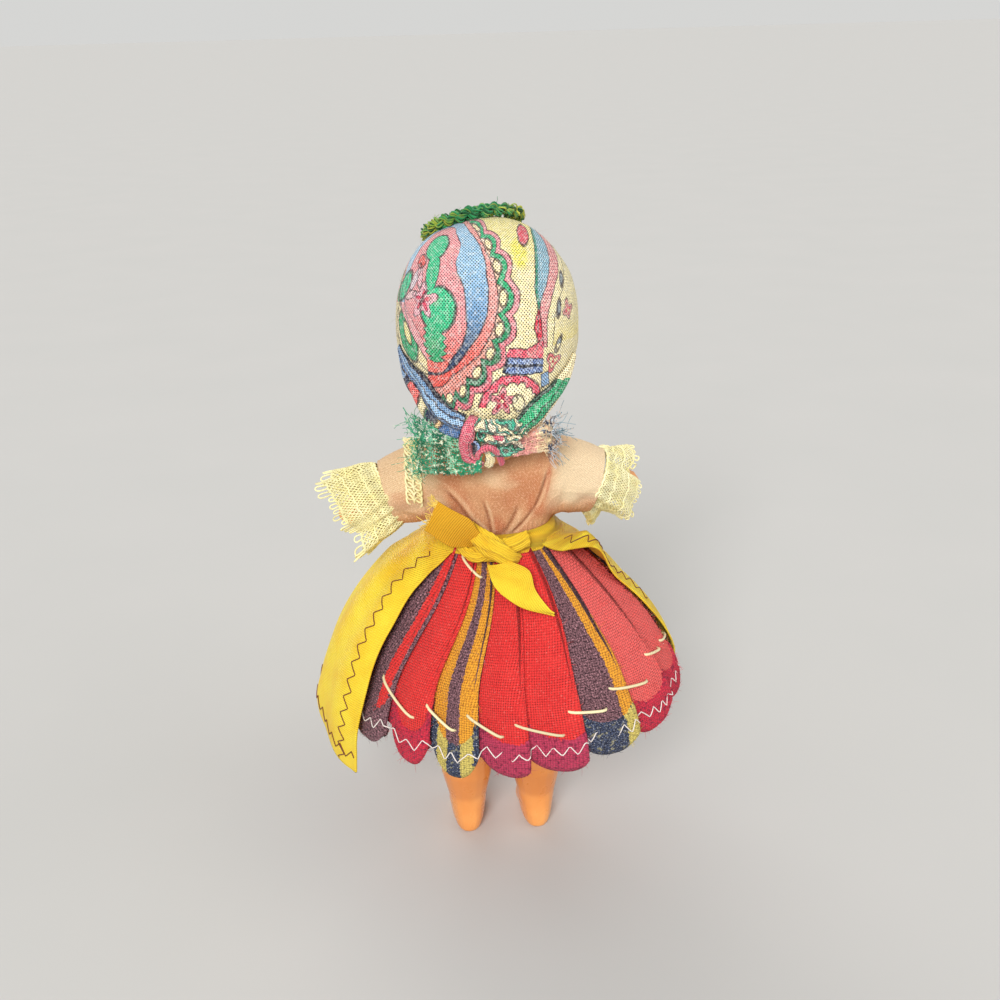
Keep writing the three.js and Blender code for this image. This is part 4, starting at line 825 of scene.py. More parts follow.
def cloth_roll(name, corners, width, height, material, seed, folds=3.0, depth=0.16):
    """A rolled length of cloth along a path, with lengthwise folds. Its sizes are (share, half size) pairs."""
    steps, round_steps = 90, 40
    path = route(corners, steps)
    along = unit(np.gradient(path, axis=0))
    aside = unit(np.cross(along, unit(path - path.mean(0) * UP)))
    up = np.cross(aside, along)
    share = np.linspace(0, 1, steps)
    wide, high = track(width)(share)[:, None], track(height)(share)[:, None]
    angle = np.linspace(0, TURN, round_steps + 1)[None, :-1]
    fold = 1 + depth * np.sin(angle * folds * 2 + 3 * np.sin(share[:, None] * 5 + seed))
    fold = fold + depth * 0.5 * np.sin(angle * (folds * 3 + 1) - share[:, None] * 7 + seed * 2)
    at = (path[:, None] + aside[:, None] * (wide * np.cos(angle) * fold)[..., None]
          + up[:, None] * (high * np.sin(angle) * fold)[..., None])
    faces, to_corners = grid_faces(round_steps, steps - 1, round_steps)
    end = (steps - 1) * round_steps
    caps = [list(range(round_steps))[::-1], list(range(end, end + round_steps))]
    grid = np.concatenate([at, at[:, :1]], 1)
    rows, columns = np.meshgrid(share, np.linspace(0, 1, round_steps + 1), indexing="ij")
    uvs = {}
    for layer, pair in (("cloth", (lengths(grid, 1), lengths(grid, 0))), ("bands", (columns, rows))):
        pair = np.stack(pair, -1)
        uvs[layer] = np.concatenate([to_corners(pair), pair[0, :round_steps][::-1], pair[-1, :round_steps]])
    return make_mesh(name, at.reshape(-1, 3), faces + caps, material, uvs)


def bulge(start, middle, end, place=0.5):
    """The half size of a roll at its start, at a place along it and at its end."""
    return [(0, start), (place, middle), (1, end)]


def make_bow():
    # The waistband and knot carry a share of painted shade.
    ribbon = ribbon_finish("bow_ribbon", turned=True, deep=0.35)
    band = sheet_mesh("waistband_cloth", band_surface, 240, 24, ribbon, 0.4, grid_pattern(band_surface),
                      closed=True, flip=True)
    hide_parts("apron_waistband")
    # One strand of the knot comes over from the upper left to the lower right. The band and a tuck go under it.
    over = cloth_roll(
        "bow_knot_over",
        [(6.6, 13.8, 92.2), (5.0, 16.4, 91.4), (1.4, 18.2, 88.8), (-2.4, 17.4, 85.4), (-4.6, 15.2, 84.0)],
        [(0, 1.7), (0.3, 2.3), (0.7, 2.2), (1, 1.5)], [(0, 0.7), (0.4, 1.25), (0.8, 1.1), (1, 0.6)], ribbon, 1)
    round_it = cloth_roll(
        "bow_knot_round",
        [(7.4, 13.6, 86.4), (4.8, 16.0, 86.4), (1.6, 16.2, 86.8), (-2.0, 15.8, 87.6), (-7.4, 13.4, 88.6)],
        bulge(1.5, 2.2, 1.8), bulge(0.8, 1.2, 0.8), ribbon, 4)
    loose = cloth_roll(
        "bow_knot_tuck", [(9.4, 13.6, 88.0), (7.2, 16.0, 86.6), (4.6, 16.8, 85.8), (2.4, 16.4, 86.6)],
        bulge(1.0, 1.3, 0.9), bulge(0.5, 0.7, 0.5), ribbon, 7)
    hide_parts("apron_knot")
    ahead, side, outward = np.array([0.82, 0.06, 0.57]), np.array([-0.57, 0.12, 0.82]), np.array([0, 1, 0.05])

    def upper(u, v):
        half = lerp(2.4, 4.3, smoothstep(v, 0, 0.4)) * (1 + 0.05 * np.sin(v * 5))
        skew = 1.6 * (u - 0.5) * v
        curl = 0.9 * np.sin(v * math.pi) + 0.6 * np.sin(u * math.pi) * v - 0.5 * v**2
        out = 0.9 + 0.8 * np.sin((u - 0.5) * 3) * (1 - v)
        return (np.array([5.2, 15.6, 89.9]) + (12.8 * v + skew)[..., None] * ahead
                + ((u - 0.5) * 2 * half)[..., None] * side + (curl + out)[..., None] * outward)

    # The lower tail's two edges on the skirt: degrees, and height.
    left_side = [track([(0, 6.2), (0.3, 3.4), (0.62, -4.8), (1, -20.2)]),
                 track([(0, 84.6), (0.3, 80.6), (0.62, 76.8), (1, 74.2)])]
    right_side = [track([(0, -3.7), (0.32, -14.2), (0.62, -14.6), (1, -20.2)]),
                  track([(0, 85.2), (0.32, 83.0), (0.62, 79.4), (1, 74.2)])]

    def lower(u, v):
        degrees, z = (lerp(right(v), left(v), u) for left, right in zip(left_side, right_side))
        bend = 0.9 * np.sin(u * math.pi) * (1 - v) + 0.35 * np.sin(v * 4 + u * 3)
        return skirt_point(np.radians(degrees), z, SKIRT_STANDOFF + PLEAT_DEPTH + lerp(2.2, 1.0, v) + bend)

    tails = []
    # The upper tail is painted almost wholly in the painted shade colour, the lower tail a little.
    for name, surface, deep in (("upper", upper, 0.9), ("lower", lower, 0.1)):
        finish = ribbon_finish(f"tail_{name}_ribbon", turned=name == "lower", deep=deep)
        tail = sheet_mesh(f"tail_{name}_cloth", surface, 40, 70, finish, 0.4, grid_pattern(surface))
        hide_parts(f"apron_tail_{name}")
        tails.append(tail)
    # The raw end of the upper tail is frayed.
    rng = np.random.default_rng(91)
    step = np.linspace(0, 1, 14)[:, None]
    threads = []
    for u in np.concatenate([rng.random(26), 0.8 + 0.2 * rng.random(16)]):
        root, inside = (upper(np.array([u]), np.array([v]))[0] for v in (0.98, 0.88))
        aim = unit(unit(root - inside) + 0.35 * rng.normal(size=3))
        threads.append(root + aim * step * (0.8 + 1.6 * rng.random()) + rng.normal(size=3) * step**2 * 0.5)
    fringe = strand_mesh("tail_upper_fringe", np.array(threads), 0.09,
                         thread_finish("frayed_ribbon", "eecb62"), 4)
    for piece in [band, over, round_it, loose, fringe, *tails]:
        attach(piece, "torso")
    return band, tails, [over, round_it, loose], fringe


apron, apron_seams = make_apron()
waistband, tails, knot_rolls, fringe = make_bow()


# Kerchief

HEAD_CENTRE = np.array([0, 0, 137.0])
HEAD_HALF = np.array([19.3, 19.6, 22.0])
NAPE = unit([0.05, 0.57, -0.82])
CROWN_OUTSIDE = 2.0
PRINT_RADIUS = 21.5
BOTEH = (-14.3, 9.3)


def over_head(direction, offset):
    """A point over the head. The cloth stands off it towards the knot at the nape."""
    direction = np.asarray(direction, float)
    drape = 3.6 * smoothstep(direction @ NAPE, 0.6, 1) + 1.7 * smoothstep(direction[..., 2], 0.05, 0.85)
    return HEAD_CENTRE + direction * (HEAD_HALF + np.asarray(offset + drape)[..., None])


def crown_direction(u, v):
    around = u * TURN
    a, b = 0.82 * 19.6, 0.57 * 22 * np.sin(around)
    rim = np.arctan2(b, a) + np.arccos(-3.8 / np.hypot(a, b))
    tilt = v * rim
    return points(np.sin(tilt) * np.cos(around), np.cos(tilt), np.sin(tilt) * np.sin(around)), tilt, around


def crown_surface(u, v):
    direction = crown_direction(u, v)[0]
    # Soft folds run to the knot, and the cloth lies loosely elsewhere.
    beside = np.cross(NAPE, [1, 0, 0])
    turn = np.arctan2(direction @ unit(beside), direction[..., 0])
    near = np.exp(-((np.arccos(np.clip(direction @ NAPE, -1, 1)) / 0.62) ** 2))
    folds = 0.5 * near * (np.sin(turn * 9 + 1) + 0.6 * np.sin(turn * 17 + 2.5))
    slack = 0.22 * noise(direction * 20, 7, 21) + 0.08 * noise(direction * 20, 2.5, 22)
    return over_head(direction, CROWN_OUTSIDE + folds + slack)


def crown_pattern(u, v):
    direction, tilt, around = crown_direction(u, v)
    tilt = tilt * (1 + 0.05 * smoothstep(direction[..., 2], 0.2, 0.95))
    return {"cloth": (-PRINT_RADIUS * tilt * np.cos(around), PRINT_RADIUS * tilt * np.sin(around))}


def full_turn(pairs, scale):
    """(degrees, mm) pairs as (share of a turn, share of the scale) for a curve node, closed at the left."""
    return sorted((degrees / 360 + 0.5, reach / scale) for degrees, reach in pairs)


REACH = 34.0
# The nested bands of the large boteh: how far each reaches from its middle, as (degrees, mm).
PINK_BAND = [(-180, 10), (-150, 9.5), (-120, 12.5), (-92, 14.8), (-63, 11.5), (-46, 10.5), (-31, 9.8),
             (-16, 8.7), (3, 8.3), (23, 8.6), (45, 9.2), (57, 11.1), (62, 15), (71, 18), (87, 22.5),
             (105, 19), (150, 11.5), (180, 10)]
BLUE_BAND = [(-180, 12), (-150, 12), (-115, 16), (-82, 14.7), (-62, 13.2), (-45, 12.4), (-30, 12.5),
             (-17, 12.9), (-2, 13.3), (11, 13.7), (25, 14.7), (45, 17.4), (61, 19.9), (87, 25.5), (110, 24),
             (150, 14), (180, 12)]
SALMON_BAND = [(-180, 13.5), (-115, 18), (-83, 17.3), (-74, 15.6), (-59, 14.6), (-44, 14.8), (-31, 14.7),
               (-21, 15), (-9, 15.2), (1, 15.5), (13, 15.9), (27, 16.5), (44, 18.2), (61, 22), (87, 27.5),
               (110, 26), (150, 16), (180, 13.5)]
WAVE_MIDDLE = [(-180, 14.5), (-110, 20.5), (-72, 20), (-60, 18.4), (-48, 17.6), (-33, 17.4), (-14, 17.3),
               (5, 17.7), (20, 18.2), (34, 19.3), (50, 21.4), (65, 24.6), (87, 29), (110, 28), (150, 17),
               (180, 14.5)]
# The places of the ovals between the waves: (degrees, how many ovals from the first, plus 10).
OVALS = [(-180, 24), (-120, 20.6), (-90, 18.8), (-77, 17.5), (-67, 16.5), (-52, 15.5), (-36, 14.5),
         (-18, 13.5), (3, 12.5), (26, 11.5), (43, 10.5), (60, 9.5), (90, 7.8), (180, 3)]
OUTLINE = "2c1720"
NAVY = "1c2233"


def boteh_print(f, s, t):
    """The kerchief's printed colours, for cloth coordinates in mm."""
    at = f.join(s, t)
    s = s + (f.clouds(at, 2.2) - 0.5) * 0.8
    t = t + (f.clouds(f.join(t, s, 7.0), 2.2) - 0.5) * 0.8
    lines = []
    colour = "e3d2a2"

    def paint(code, where):
        nonlocal colour
        colour = f.mix(colour, code, where)

    def outline(distance, width=0.19, within=None):
        if within is not None:
            distance = f.mix_value(9.0, distance, within)
        lines.append(distance.abs() < width)

    def shape(code, distance, width=0.19, within=1.0):
        """Paints where the distance is below 0, and outlines it."""
        paint(code, (distance < 0) * within)
        outline(distance, width, None if within == 1.0 else within)

    def blob(x, y, wide, high, lean=0.0):
        """The distance from an ellipse's middle, 1 at its rim."""
        a, b = s - x, t - y
        turned = (a * math.cos(lean) + b * math.sin(lean)) / wide
        risen = (b * math.cos(lean) - a * math.sin(lean)) / high
        return (turned * turned + risen * risen).sqrt()

    def flower(x, y, size, petals, colours, ragged=0.22):
        a, b = s - x, t - y
        out = (a * a + b * b).sqrt()
        way = b.angle_to(a)
        petal = (way * petals + 0.6).sin()
        shape(colours[0], out / (petal * ragged + (way * 3 + x).sin() * 0.08 + 0.85) - size)
        shape(colours[1], out / (petal * 0.42 + 0.75) - size * 0.6, 0.13)
        paint(colours[2], out < size * 0.16)

    across, up = s - BOTEH[0], t - BOTEH[1]
    reach = (across * across + up * up).sqrt()
    turn = up.angle_to(across) / TURN + 0.5
    cell = (turn.along(full_turn(OVALS, 30)) * 30).fract()
    wave = (cell * math.pi).sin() * 2.0 - 1.2
    pink, blue, salmon, middle = (turn.along(full_turn(pairs, REACH)) * REACH
                                  for pairs in (PINK_BAND, BLUE_BAND, SALMON_BAND, WAVE_MIDDLE))
    rim = middle + wave * 0.85 + 2.4
    green_edge = middle + wave + 0.85
    low = t.ease(-4, 9, 1, 0)
    # Field, then the bands from the widest to the narrowest.
    paint("e5d44a", ((s - 7.6) * (s - 7.6) * 2.4 + (t - 20.4) * (t - 20.4) * 0.7).ease(4, 16, 1, 0))
    paint("e2d878", t.ease(14, 24) * 0.5)
    shape(f.mix("d98d92", "cc6672", low), reach - rim)
    shape(f.mix("35a06c", "2c7350", low), reach - green_edge)
    shape(f.mix("ddb9a0", "cf8478", low), reach - green_edge + 1.7)
    a, b = (cell - 0.5) / 0.27, reach - middle + 0.85
    egg = (a * a + b * b).sqrt()
    paint("e6d3a4", egg < 1)
    outline(egg - 1, 0.18, within=egg < 1.6)
    shape(f.mix("d9938c", "d9584f", low), reach - salmon)
    blues = [(0, "2e3a52"), (0.25, "2e3a52"), (0.36, "3b4c6b"), (0.47, "6f94b8"), (0.6, "8fb3cd"),
             (0.85, "9dbcd2")]
    shape(turn.ramp(blues, smooth=True), reach - blue)
    shape(f.mix("d98f92", "dc6a60", low), reach - pink)
    # The green boteh: a head, a neck, a wide body and a leafy foot.
    leafy = ((t * 0.62).fract() - 0.5).abs() * 0.75 - 0.2
    body = blob(-14.2, 23.8, 3.5, 4.2, -0.3).min(blob(-14.6, 17.0, 1.9, 5.0, -0.1))
    body = body.min(blob(-13.0, 8.4, 4.8, 4.9)).min(blob(-14.0, 1.6, 2.7, 4.6, 0.1) + leafy)
    shape(f.mix("3fb884", "2f9a63", low), (body - 1) * 2.6)

    # Left of the boteh: a flower, pointed petals above it, a leaf, and a stalk beside a small green boteh.
    stalk = (s + 25.6) * 0.75 + (t - 9.3) * 0.66
    under = (s < -16.3) * (body > 1) * (stalk < 1.2) * (t < 9.8)
    paint("d9979a", under)
    outline(stalk.abs() - 1.2, within=under)
    corner = under * (stalk < -1.2)
    paint("e2d2a2", corner)
    shape("37a56f", (blob(-23.4, 1.6, 3.4, 6.6, 0.5) - 1) * 3, within=corner)
    pale = blob(-23.1, 2.5, 1.2, 3.0, 0.45)
    paint("e3d494", corner * (pale < 1))
    outline((pale - 1) * 1.5, 0.18)
    for code, petal in (("3dba88", (-25.2, 14.2, 2.5, 4.6, -0.6)), ("cdb9c0", (-20.4, 15.6, 1.0, 3.3, -0.5)),
                        ("dfa9b0", (-18.6, 16.4, 0.9, 3.4, 0.15)), ("d9605a", (-18.8, 20.3, 1.5, 2.0, 0.5)),
                        ("d9b3b4", (-21.6, 11.6, 2.4, 0.9, 0.3))):
        shape(code, (blob(*petal) - 1) * 1.3, 0.17)
    flower(-17.0, 10.2, 3.7, 5, ("dda3ad", "cf4660", "7c2338"), 0.3)

    # Right: upright bands between fields, a wedge, then the navy bars and the scalloped arc below.
    high = (t + 20) / 50

    def upright(*pairs):
        return high.along([((y + 20) / 50, x / 30) for y, x in pairs]) * 30

    first = upright((-20, 11.8), (-1.2, 11.8), (1.8, 10.1), (4.5, 9.5), (7.6, 10.6), (10.9, 10.2),
                    (14.2, 10.8), (20, 12), (27, 13.8), (30, 15))
    second = upright((-20, 11.8), (7.6, 11.0), (11.2, 12.9), (15.6, 15.2), (20.5, 16.8), (27, 17.8), (30, 18))
    third = upright((-20, 12.9), (-0.2, 12.9), (6, 13.3), (10.7, 15.4), (16.4, 19), (22, 21), (30, 22))
    fourth = upright((-20, 13.4), (-2.8, 13.8), (1.1, 14.9), (7.3, 16.1), (13.4, 20.4), (22, 23), (30, 24))
    upper = t > -0.6
    right = upper * (s > first)
    paint("e5d8a8", right)
    paint("e6d588", right * (s > fourth) * t.ease(-2, 6, 1, 0))
    paint(f.mix("b9646c", "dd9c98", ((t * 1.2).fract() - 0.5).abs().ease(0.06, 0.18)), right * (s < third))
    blues = f.mix("2e8a6c", "8fb6c6", (s - first).ease(0.4, 1.3))
    blues = f.mix(blues, "3b4a66", (((s - first) * 1.4).fract() > 0.72) * 0.6)
    paint(blues, right * (s < second) * (t > 7.6))
    wedge_edge = (7.6 - t) * 0.12 + 11
    below = right * (t < 7.6)
    paint("cf3b4c", below * (s < wedge_edge))
    for edge in (first, second, third, fourth):
        outline(s - edge, 0.16, within=upper)
    outline(s - wedge_edge, 0.16, within=below)
    shape("cf5560", (blob(10.4, 26.5, 1.7, 4.6, -0.3) - 1) * 1.4, 0.16)
    for x, y, lean in ((17.0, 7.3, -0.2), (16.8, -0.5, -0.6), (19.4, 14.0, -0.3)):
        shape("7f8a8e", (blob(x, y, 0.75, 1.8, lean) - 1) * 0.9, 0.32)
    flower(20.8, 6.6, 2.3, 4, ("dda095", "cf5f66", "e0cf9c"))
    # The bars, with a peak where the wedge meets them.
    slope = t + (s - 3.2) * 0.15
    bars = (s > 2.6 + (slope + 1.4) * 0.35) * (s < 11.8) * (reach > rim)
    peak = (s - 7.2).ease(0, 4.6, 0.4, 2.6)
    paint("d9586a", bars * (slope > -1.4) * (slope < peak))
    outline(slope - peak, 0.17, within=bars)
    stripe = bars * (slope > -4.8) * (slope < -1.4)
    paint("1b2238", stripe)
    inside = ((((slope + 3.1).abs() - 0.85).abs() < 0.55) * stripe) * (s > 3.4 + (slope + 1.4) * 0.35)
    paint(f.mix("4a5f92", "9aaed0", f.clouds(f.join(s * 2, t), 0.6).ease(0.4, 0.62)), inside)
    # The arc under them, round a pale field and a flower.
    a, b = (s - 3.6) / 7.2, (t + 11.2) / 6.3
    arc = (a * a + b * b).sqrt()
    lobes = (b.angle_to(a) * 7).sin().abs() * 0.1
    shown = (slope < -4.8) * (reach > rim) * (s < 13) * (b > 0.1 - a.max(0) * 0.7)
    shape("e0566a", (arc - 1) * 6, within=shown)
    shape("ecdcb0", (arc - 0.7 - lobes) * 6, within=shown)
    flower(1.4, -9.8, 2.6, 5, ("d98088", "b83048", "e6cfa6"), 0.3)
    shape("e8dcae", (blob(4.8, -10.4, 1.3, 1.8, 0.4) - 1) * 1.3, 0.17)
    paint("e5d7a6", (s > 11.8) * (t < -0.6))
    flower(15.0, -4.4, 2.4, 3, ("d6676a", "e3c9a0", "b83a4c"), 0.3)
    shape("7ea0c4", ((s - 12.4).abs() - 1.3).max((t + 7.8).abs() - 1.4), 0.17)
    drawn = lines[0]
    for line in lines[1:]:
        drawn = drawn.max(line)
    return f.mix(colour, OUTLINE, drawn * 0.8)


def cotton(name):
    """A new finish for the kerchief's cotton, with its cloth coordinates in mm."""
    f = Finish(name, 0.85, Sheen_Weight=0.1, Specular_IOR_Level=0.2)
    s, t, _ = f.uv("cloth")
    return f, s, t


def woven(f, colour, s, t, pitch=0.5, depth=0.16):
    """An open plain weave, seen on the cross: pin holes between the threads, and threads of uneven shade."""
    at = f.join(s, t)
    height, edge, hole = plain_weave((s + t) * 0.7071, (s - t) * 0.7071, pitch)
    colour = f.mix(colour, "ece2c6", f.clouds(at, 6, 3).ease(0.55, 0.85) * 0.3)
    colour = f.mix(colour, "eceae4", f.clouds(at, 0.9, 2).ease(0.42, 0.7) * 0.3)
    slub = f.clouds(f.join(s * 0.25, t * 2.2), 0.5).ease(0.3, 0.7, 0.86, 1.16)
    open_here = f.clouds(at, 2.2, 2).ease(0.3, 0.65, 0.65, 1.25)
    lit = 1.38 - 1.15 * hole.ease(0.14, 0.5) * open_here - 0.12 * edge.ease(0.6, 1)
    return f.done(f.shade(colour, slub * lit), height, depth)


def kerchief_finish(name, fuzzy=False):
    f, s, t = cotton(name)
    colour = boteh_print(f, s, t)
    if fuzzy:
        return f.done(f.mix(f.shade(colour, 0.8), "d9d2c4", f.point_value("tint").ease(0.2, 0.8)))
    return woven(f, colour, s, t, 0.56, 0.14)


def dark_lines(stops):
    """Where the outlines lie between printed bands."""
    lines = [(0, "000000")]
    for place, _ in stops[1:]:
        lines += [(place - 0.014, "ffffff"), (place + 0.014, "000000")]
    return lines


def banded_finish(name, stops, patches=None, turn=0.5, bare=0.0):
    """Printed bands along a fold, with dark outlines. Stops are (share of the way across, colour)."""
    f, s, t = cotton(name)
    across, along, _ = f.uv("bands")
    place = across + (f.clouds(f.join(s, t), 3) - 0.5) * 0.16
    colour = place.ramp(stops)
    lines = place.ramp(dark_lines(stops))
    if patches:
        far = along + (f.clouds(f.join(s, t), 4) - 0.5) * 0.15
        outer = place > turn
        colour = f.mix(colour, far.ramp(patches), outer)
        lines = lines.max(far.ramp(dark_lines(patches)) * outer)
    colour = f.mix(colour, OUTLINE, lines * 0.85)
    if bare:
        colour = f.mix(colour, "ecdcae", (along + (place - 0.5) * 0.1) < bare)
    return woven(f, colour, s, t)


def marbled_finish(name, stops):
    """Small printed motifs that the knot's folds cut across. Stops are (place in the noise, colour)."""
    f, s, t = cotton(name)
    place = f.clouds(f.join(s, t), 5.5, 1)
    return woven(f, f.mix(place.ramp(stops), OUTLINE, place.ramp(dark_lines(stops)) * 0.8), s, t)


KNOT_SEAT = over_head(NAPE, CROWN_OUTSIDE + 0.96)


# The two edges of each folded border, beside the crown and outside, as directions from the head's middle.
FOLD_EDGES = {
    1: (((0.95, 0.27, -0.06), (0.81, 0.54, -0.21), (0.69, 0.67, -0.28), (0.52, 0.74, -0.42),
         (0.27, 0.80, -0.54)),
        ((0.96, 0.24, -0.16), (0.89, 0.20, -0.44), (0.74, 0.26, -0.60), (0.60, 0.36, -0.72),
         (0.33, 0.55, -0.77))),
    -1: (((-0.88, 0.42, -0.18), (-0.65, 0.67, -0.37), (-0.39, 0.81, -0.43), (-0.22, 0.81, -0.55),
          (-0.10, 0.71, -0.69)),
         ((-0.90, 0.37, -0.24), (-0.80, 0.44, -0.45), (-0.57, 0.60, -0.57), (-0.36, 0.64, -0.68),
          (-0.16, 0.62, -0.77))),
}


def fold_surface(side):
    """A folded edge that runs from beside the face to the knot, lying on the crown."""
    inner, outer = ([track([(k / 4, corner[axis]) for k, corner in enumerate(edge)]) for axis in range(3)]
                    for edge in FOLD_EDGES[side])

    def surface(u, v):
        first, last = (points(*[way(v) for way in edge]) for edge in (inner, outer))
        roll = np.sin(math.pi * np.clip(u, 0.03, 0.97)) ** 0.6
        grown = smoothstep(v, -0.05, 0.4)
        pleat = 0.45 * np.sin(u * 15 + 2 * np.sin(v * 4 + side)) * roll * grown
        offset = CROWN_OUTSIDE - 0.25 + (0.5 + 1.4 * grown) * roll + pleat
        return over_head(unit(lerp(first, last, u[..., None])), offset)

    return surface


def make_kerchief():
    crown = sheet_mesh("kerchief_cloth", crown_surface, 288, 130, kerchief_finish("kerchief_print"), 0.6,
                       crown_pattern)
    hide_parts("kerchief_crown")
    blues = [(0, NAVY), (0.06, "6f93b8"), (0.15, "8fb3d4"), (0.25, "5b7ba6"), (0.33, NAVY)]
    patches = [(0, "7f9fc4"), (0.26, "2a3450"), (0.36, "e0605a"), (0.58, "ead9ac"), (0.7, "2a3450"),
               (0.8, "e9c08a"), (0.86, "4f74a6")]
    greens = [(0, "164a36"), (0.08, "34a872"), (0.36, "2b9362"), (0.62, "3fb884"), (0.74, "ead9ac"),
              (0.86, "d9706c")]
    left_bands = banded_finish("fold_left", blues, patches, turn=0.36)
    right_bands = banded_finish("fold_right", greens, bare=0.2)
    folds = []
    for side, name, finish in ((1, "left", left_bands), (-1, "right", right_bands)):
        surface = fold_surface(side)
        fold = sheet_mesh(f"fold_{name}_cloth", surface, 44, 120, finish, 0.5,
                          lambda u, v: {**grid_pattern(surface)(u, v), "bands": (u, v)}, flip=side > 0)
        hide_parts(f"kerchief_fold_{name}")
        folds.append(fold)
    fibre = kerchief_finish("kerchief_fibres", fuzzy=True)
    fibres = fuzz("kerchief_fuzz", crown, 2600, 0.7, 0.025, fibre, 61)
    strays = fuzz("kerchief_strays", crown, 110, 2.6, 0.03, thread_finish("stray_fibre", "cfcac2"), 63)
    for piece in [crown, *folds, fibres, strays]:
        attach(piece, "head")
    return crown, [*folds, fibres, strays]


kerchief, kerchief_trim = make_kerchief()


def knot_pieces(lobe, arch, bar, low, inside, tuck):
    """The knot at the nape: rolls of cloth that pass round each other."""
    rolls = []
    # Each roll's name, cloth, seed, number of folds and their depth, half widths, half heights, and its path.
    for name, cloth, seed, folds, depth, wide, high, path in (
        # From the left fold, down the left side to a hanging lobe.
        ("lobe", lobe, 2, 1.5, 0.1, [(0, 1.0), (0.25, 1.6), (0.6, 1.5), (1, 1.2)], bulge(0.8, 1.3, 0.8, 0.4),
         [(5.0, 21.5, 122.2), (6.3, 20.2, 118.4), (7.0, 17.4, 114.2), (6.3, 15.8, 110.6),
          (3.4, 14.6, 108.2)]),
        # A loop that arches over to the right, with its inside showing.
        ("arch", arch, 5, 1.5, 0.08, [(0, 0.7), (0.4, 0.85), (0.8, 0.85), (1, 0.7)], bulge(0.6, 0.8, 0.6),
         [(4.2, 15.2, 109.8), (3.6, 17.6, 113.0), (1.6, 18.6, 113.9), (-0.5, 17.2, 111.9),
          (-1.4, 15.4, 108.6)]),
        ("inside", inside, 8, 2, 0.16, bulge(0.7, 1.1, 0.9), bulge(0.6, 0.8, 0.5),
         [(1.5, 16.8, 112.8), (1.3, 16.2, 110.6), (1.7, 14.8, 108.0)]),
        ("tuck", tuck, 3, 2, 0.16, bulge(0.5, 0.8, 0.5), bulge(0.4, 0.6, 0.4),
         [(6.2, 19.2, 116.2), (4.6, 18.6, 114.6), (4.9, 16.6, 112.0)]),
        ("bar", bar, 9, 3, 0.16, bulge(1.0, 1.7, 1.2, 0.4), bulge(0.7, 1.1, 0.8),
         [(6.2, 20.6, 121.0), (2.9, 21.6, 120.0), (-1.2, 21.3, 119.4), (-4.6, 20.4, 119.0),
          (-7.0, 18.6, 117.6)]),
        ("middle", bar, 12, 3, 0.16, bulge(1.0, 1.6, 1.1), bulge(0.7, 1.1, 0.7),
         [(4.4, 19.2, 117.4), (0.6, 19.8, 116.6), (-2.8, 19.4, 116.2), (-5.8, 18.8, 117.0)]),
        ("low", low, 15, 3, 0.16, bulge(1.4, 1.9, 1.5), bulge(0.9, 1.2, 0.9),
         [(3.0, 16.0, 113.4), (-0.6, 17.0, 113.0), (-3.8, 16.6, 113.0), (-6.6, 14.8, 113.2)]),
        ("button", arch, 17, 1, 0.05, bulge(0.5, 1.0, 0.5), bulge(0.4, 0.6, 0.4),
         [(0.9, 20.6, 118.0), (-0.3, 21.1, 117.3), (-1.3, 20.4, 116.3)]),
    ):
        rolls.append(cloth_roll(f"kerchief_knot_{name}", path, wide, high, cloth, seed, folds, depth))
    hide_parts("kerchief_knot")
    return rolls


THREAD_PITCH = 0.36
THREAD_STEPS = 26
STRAYS = 130


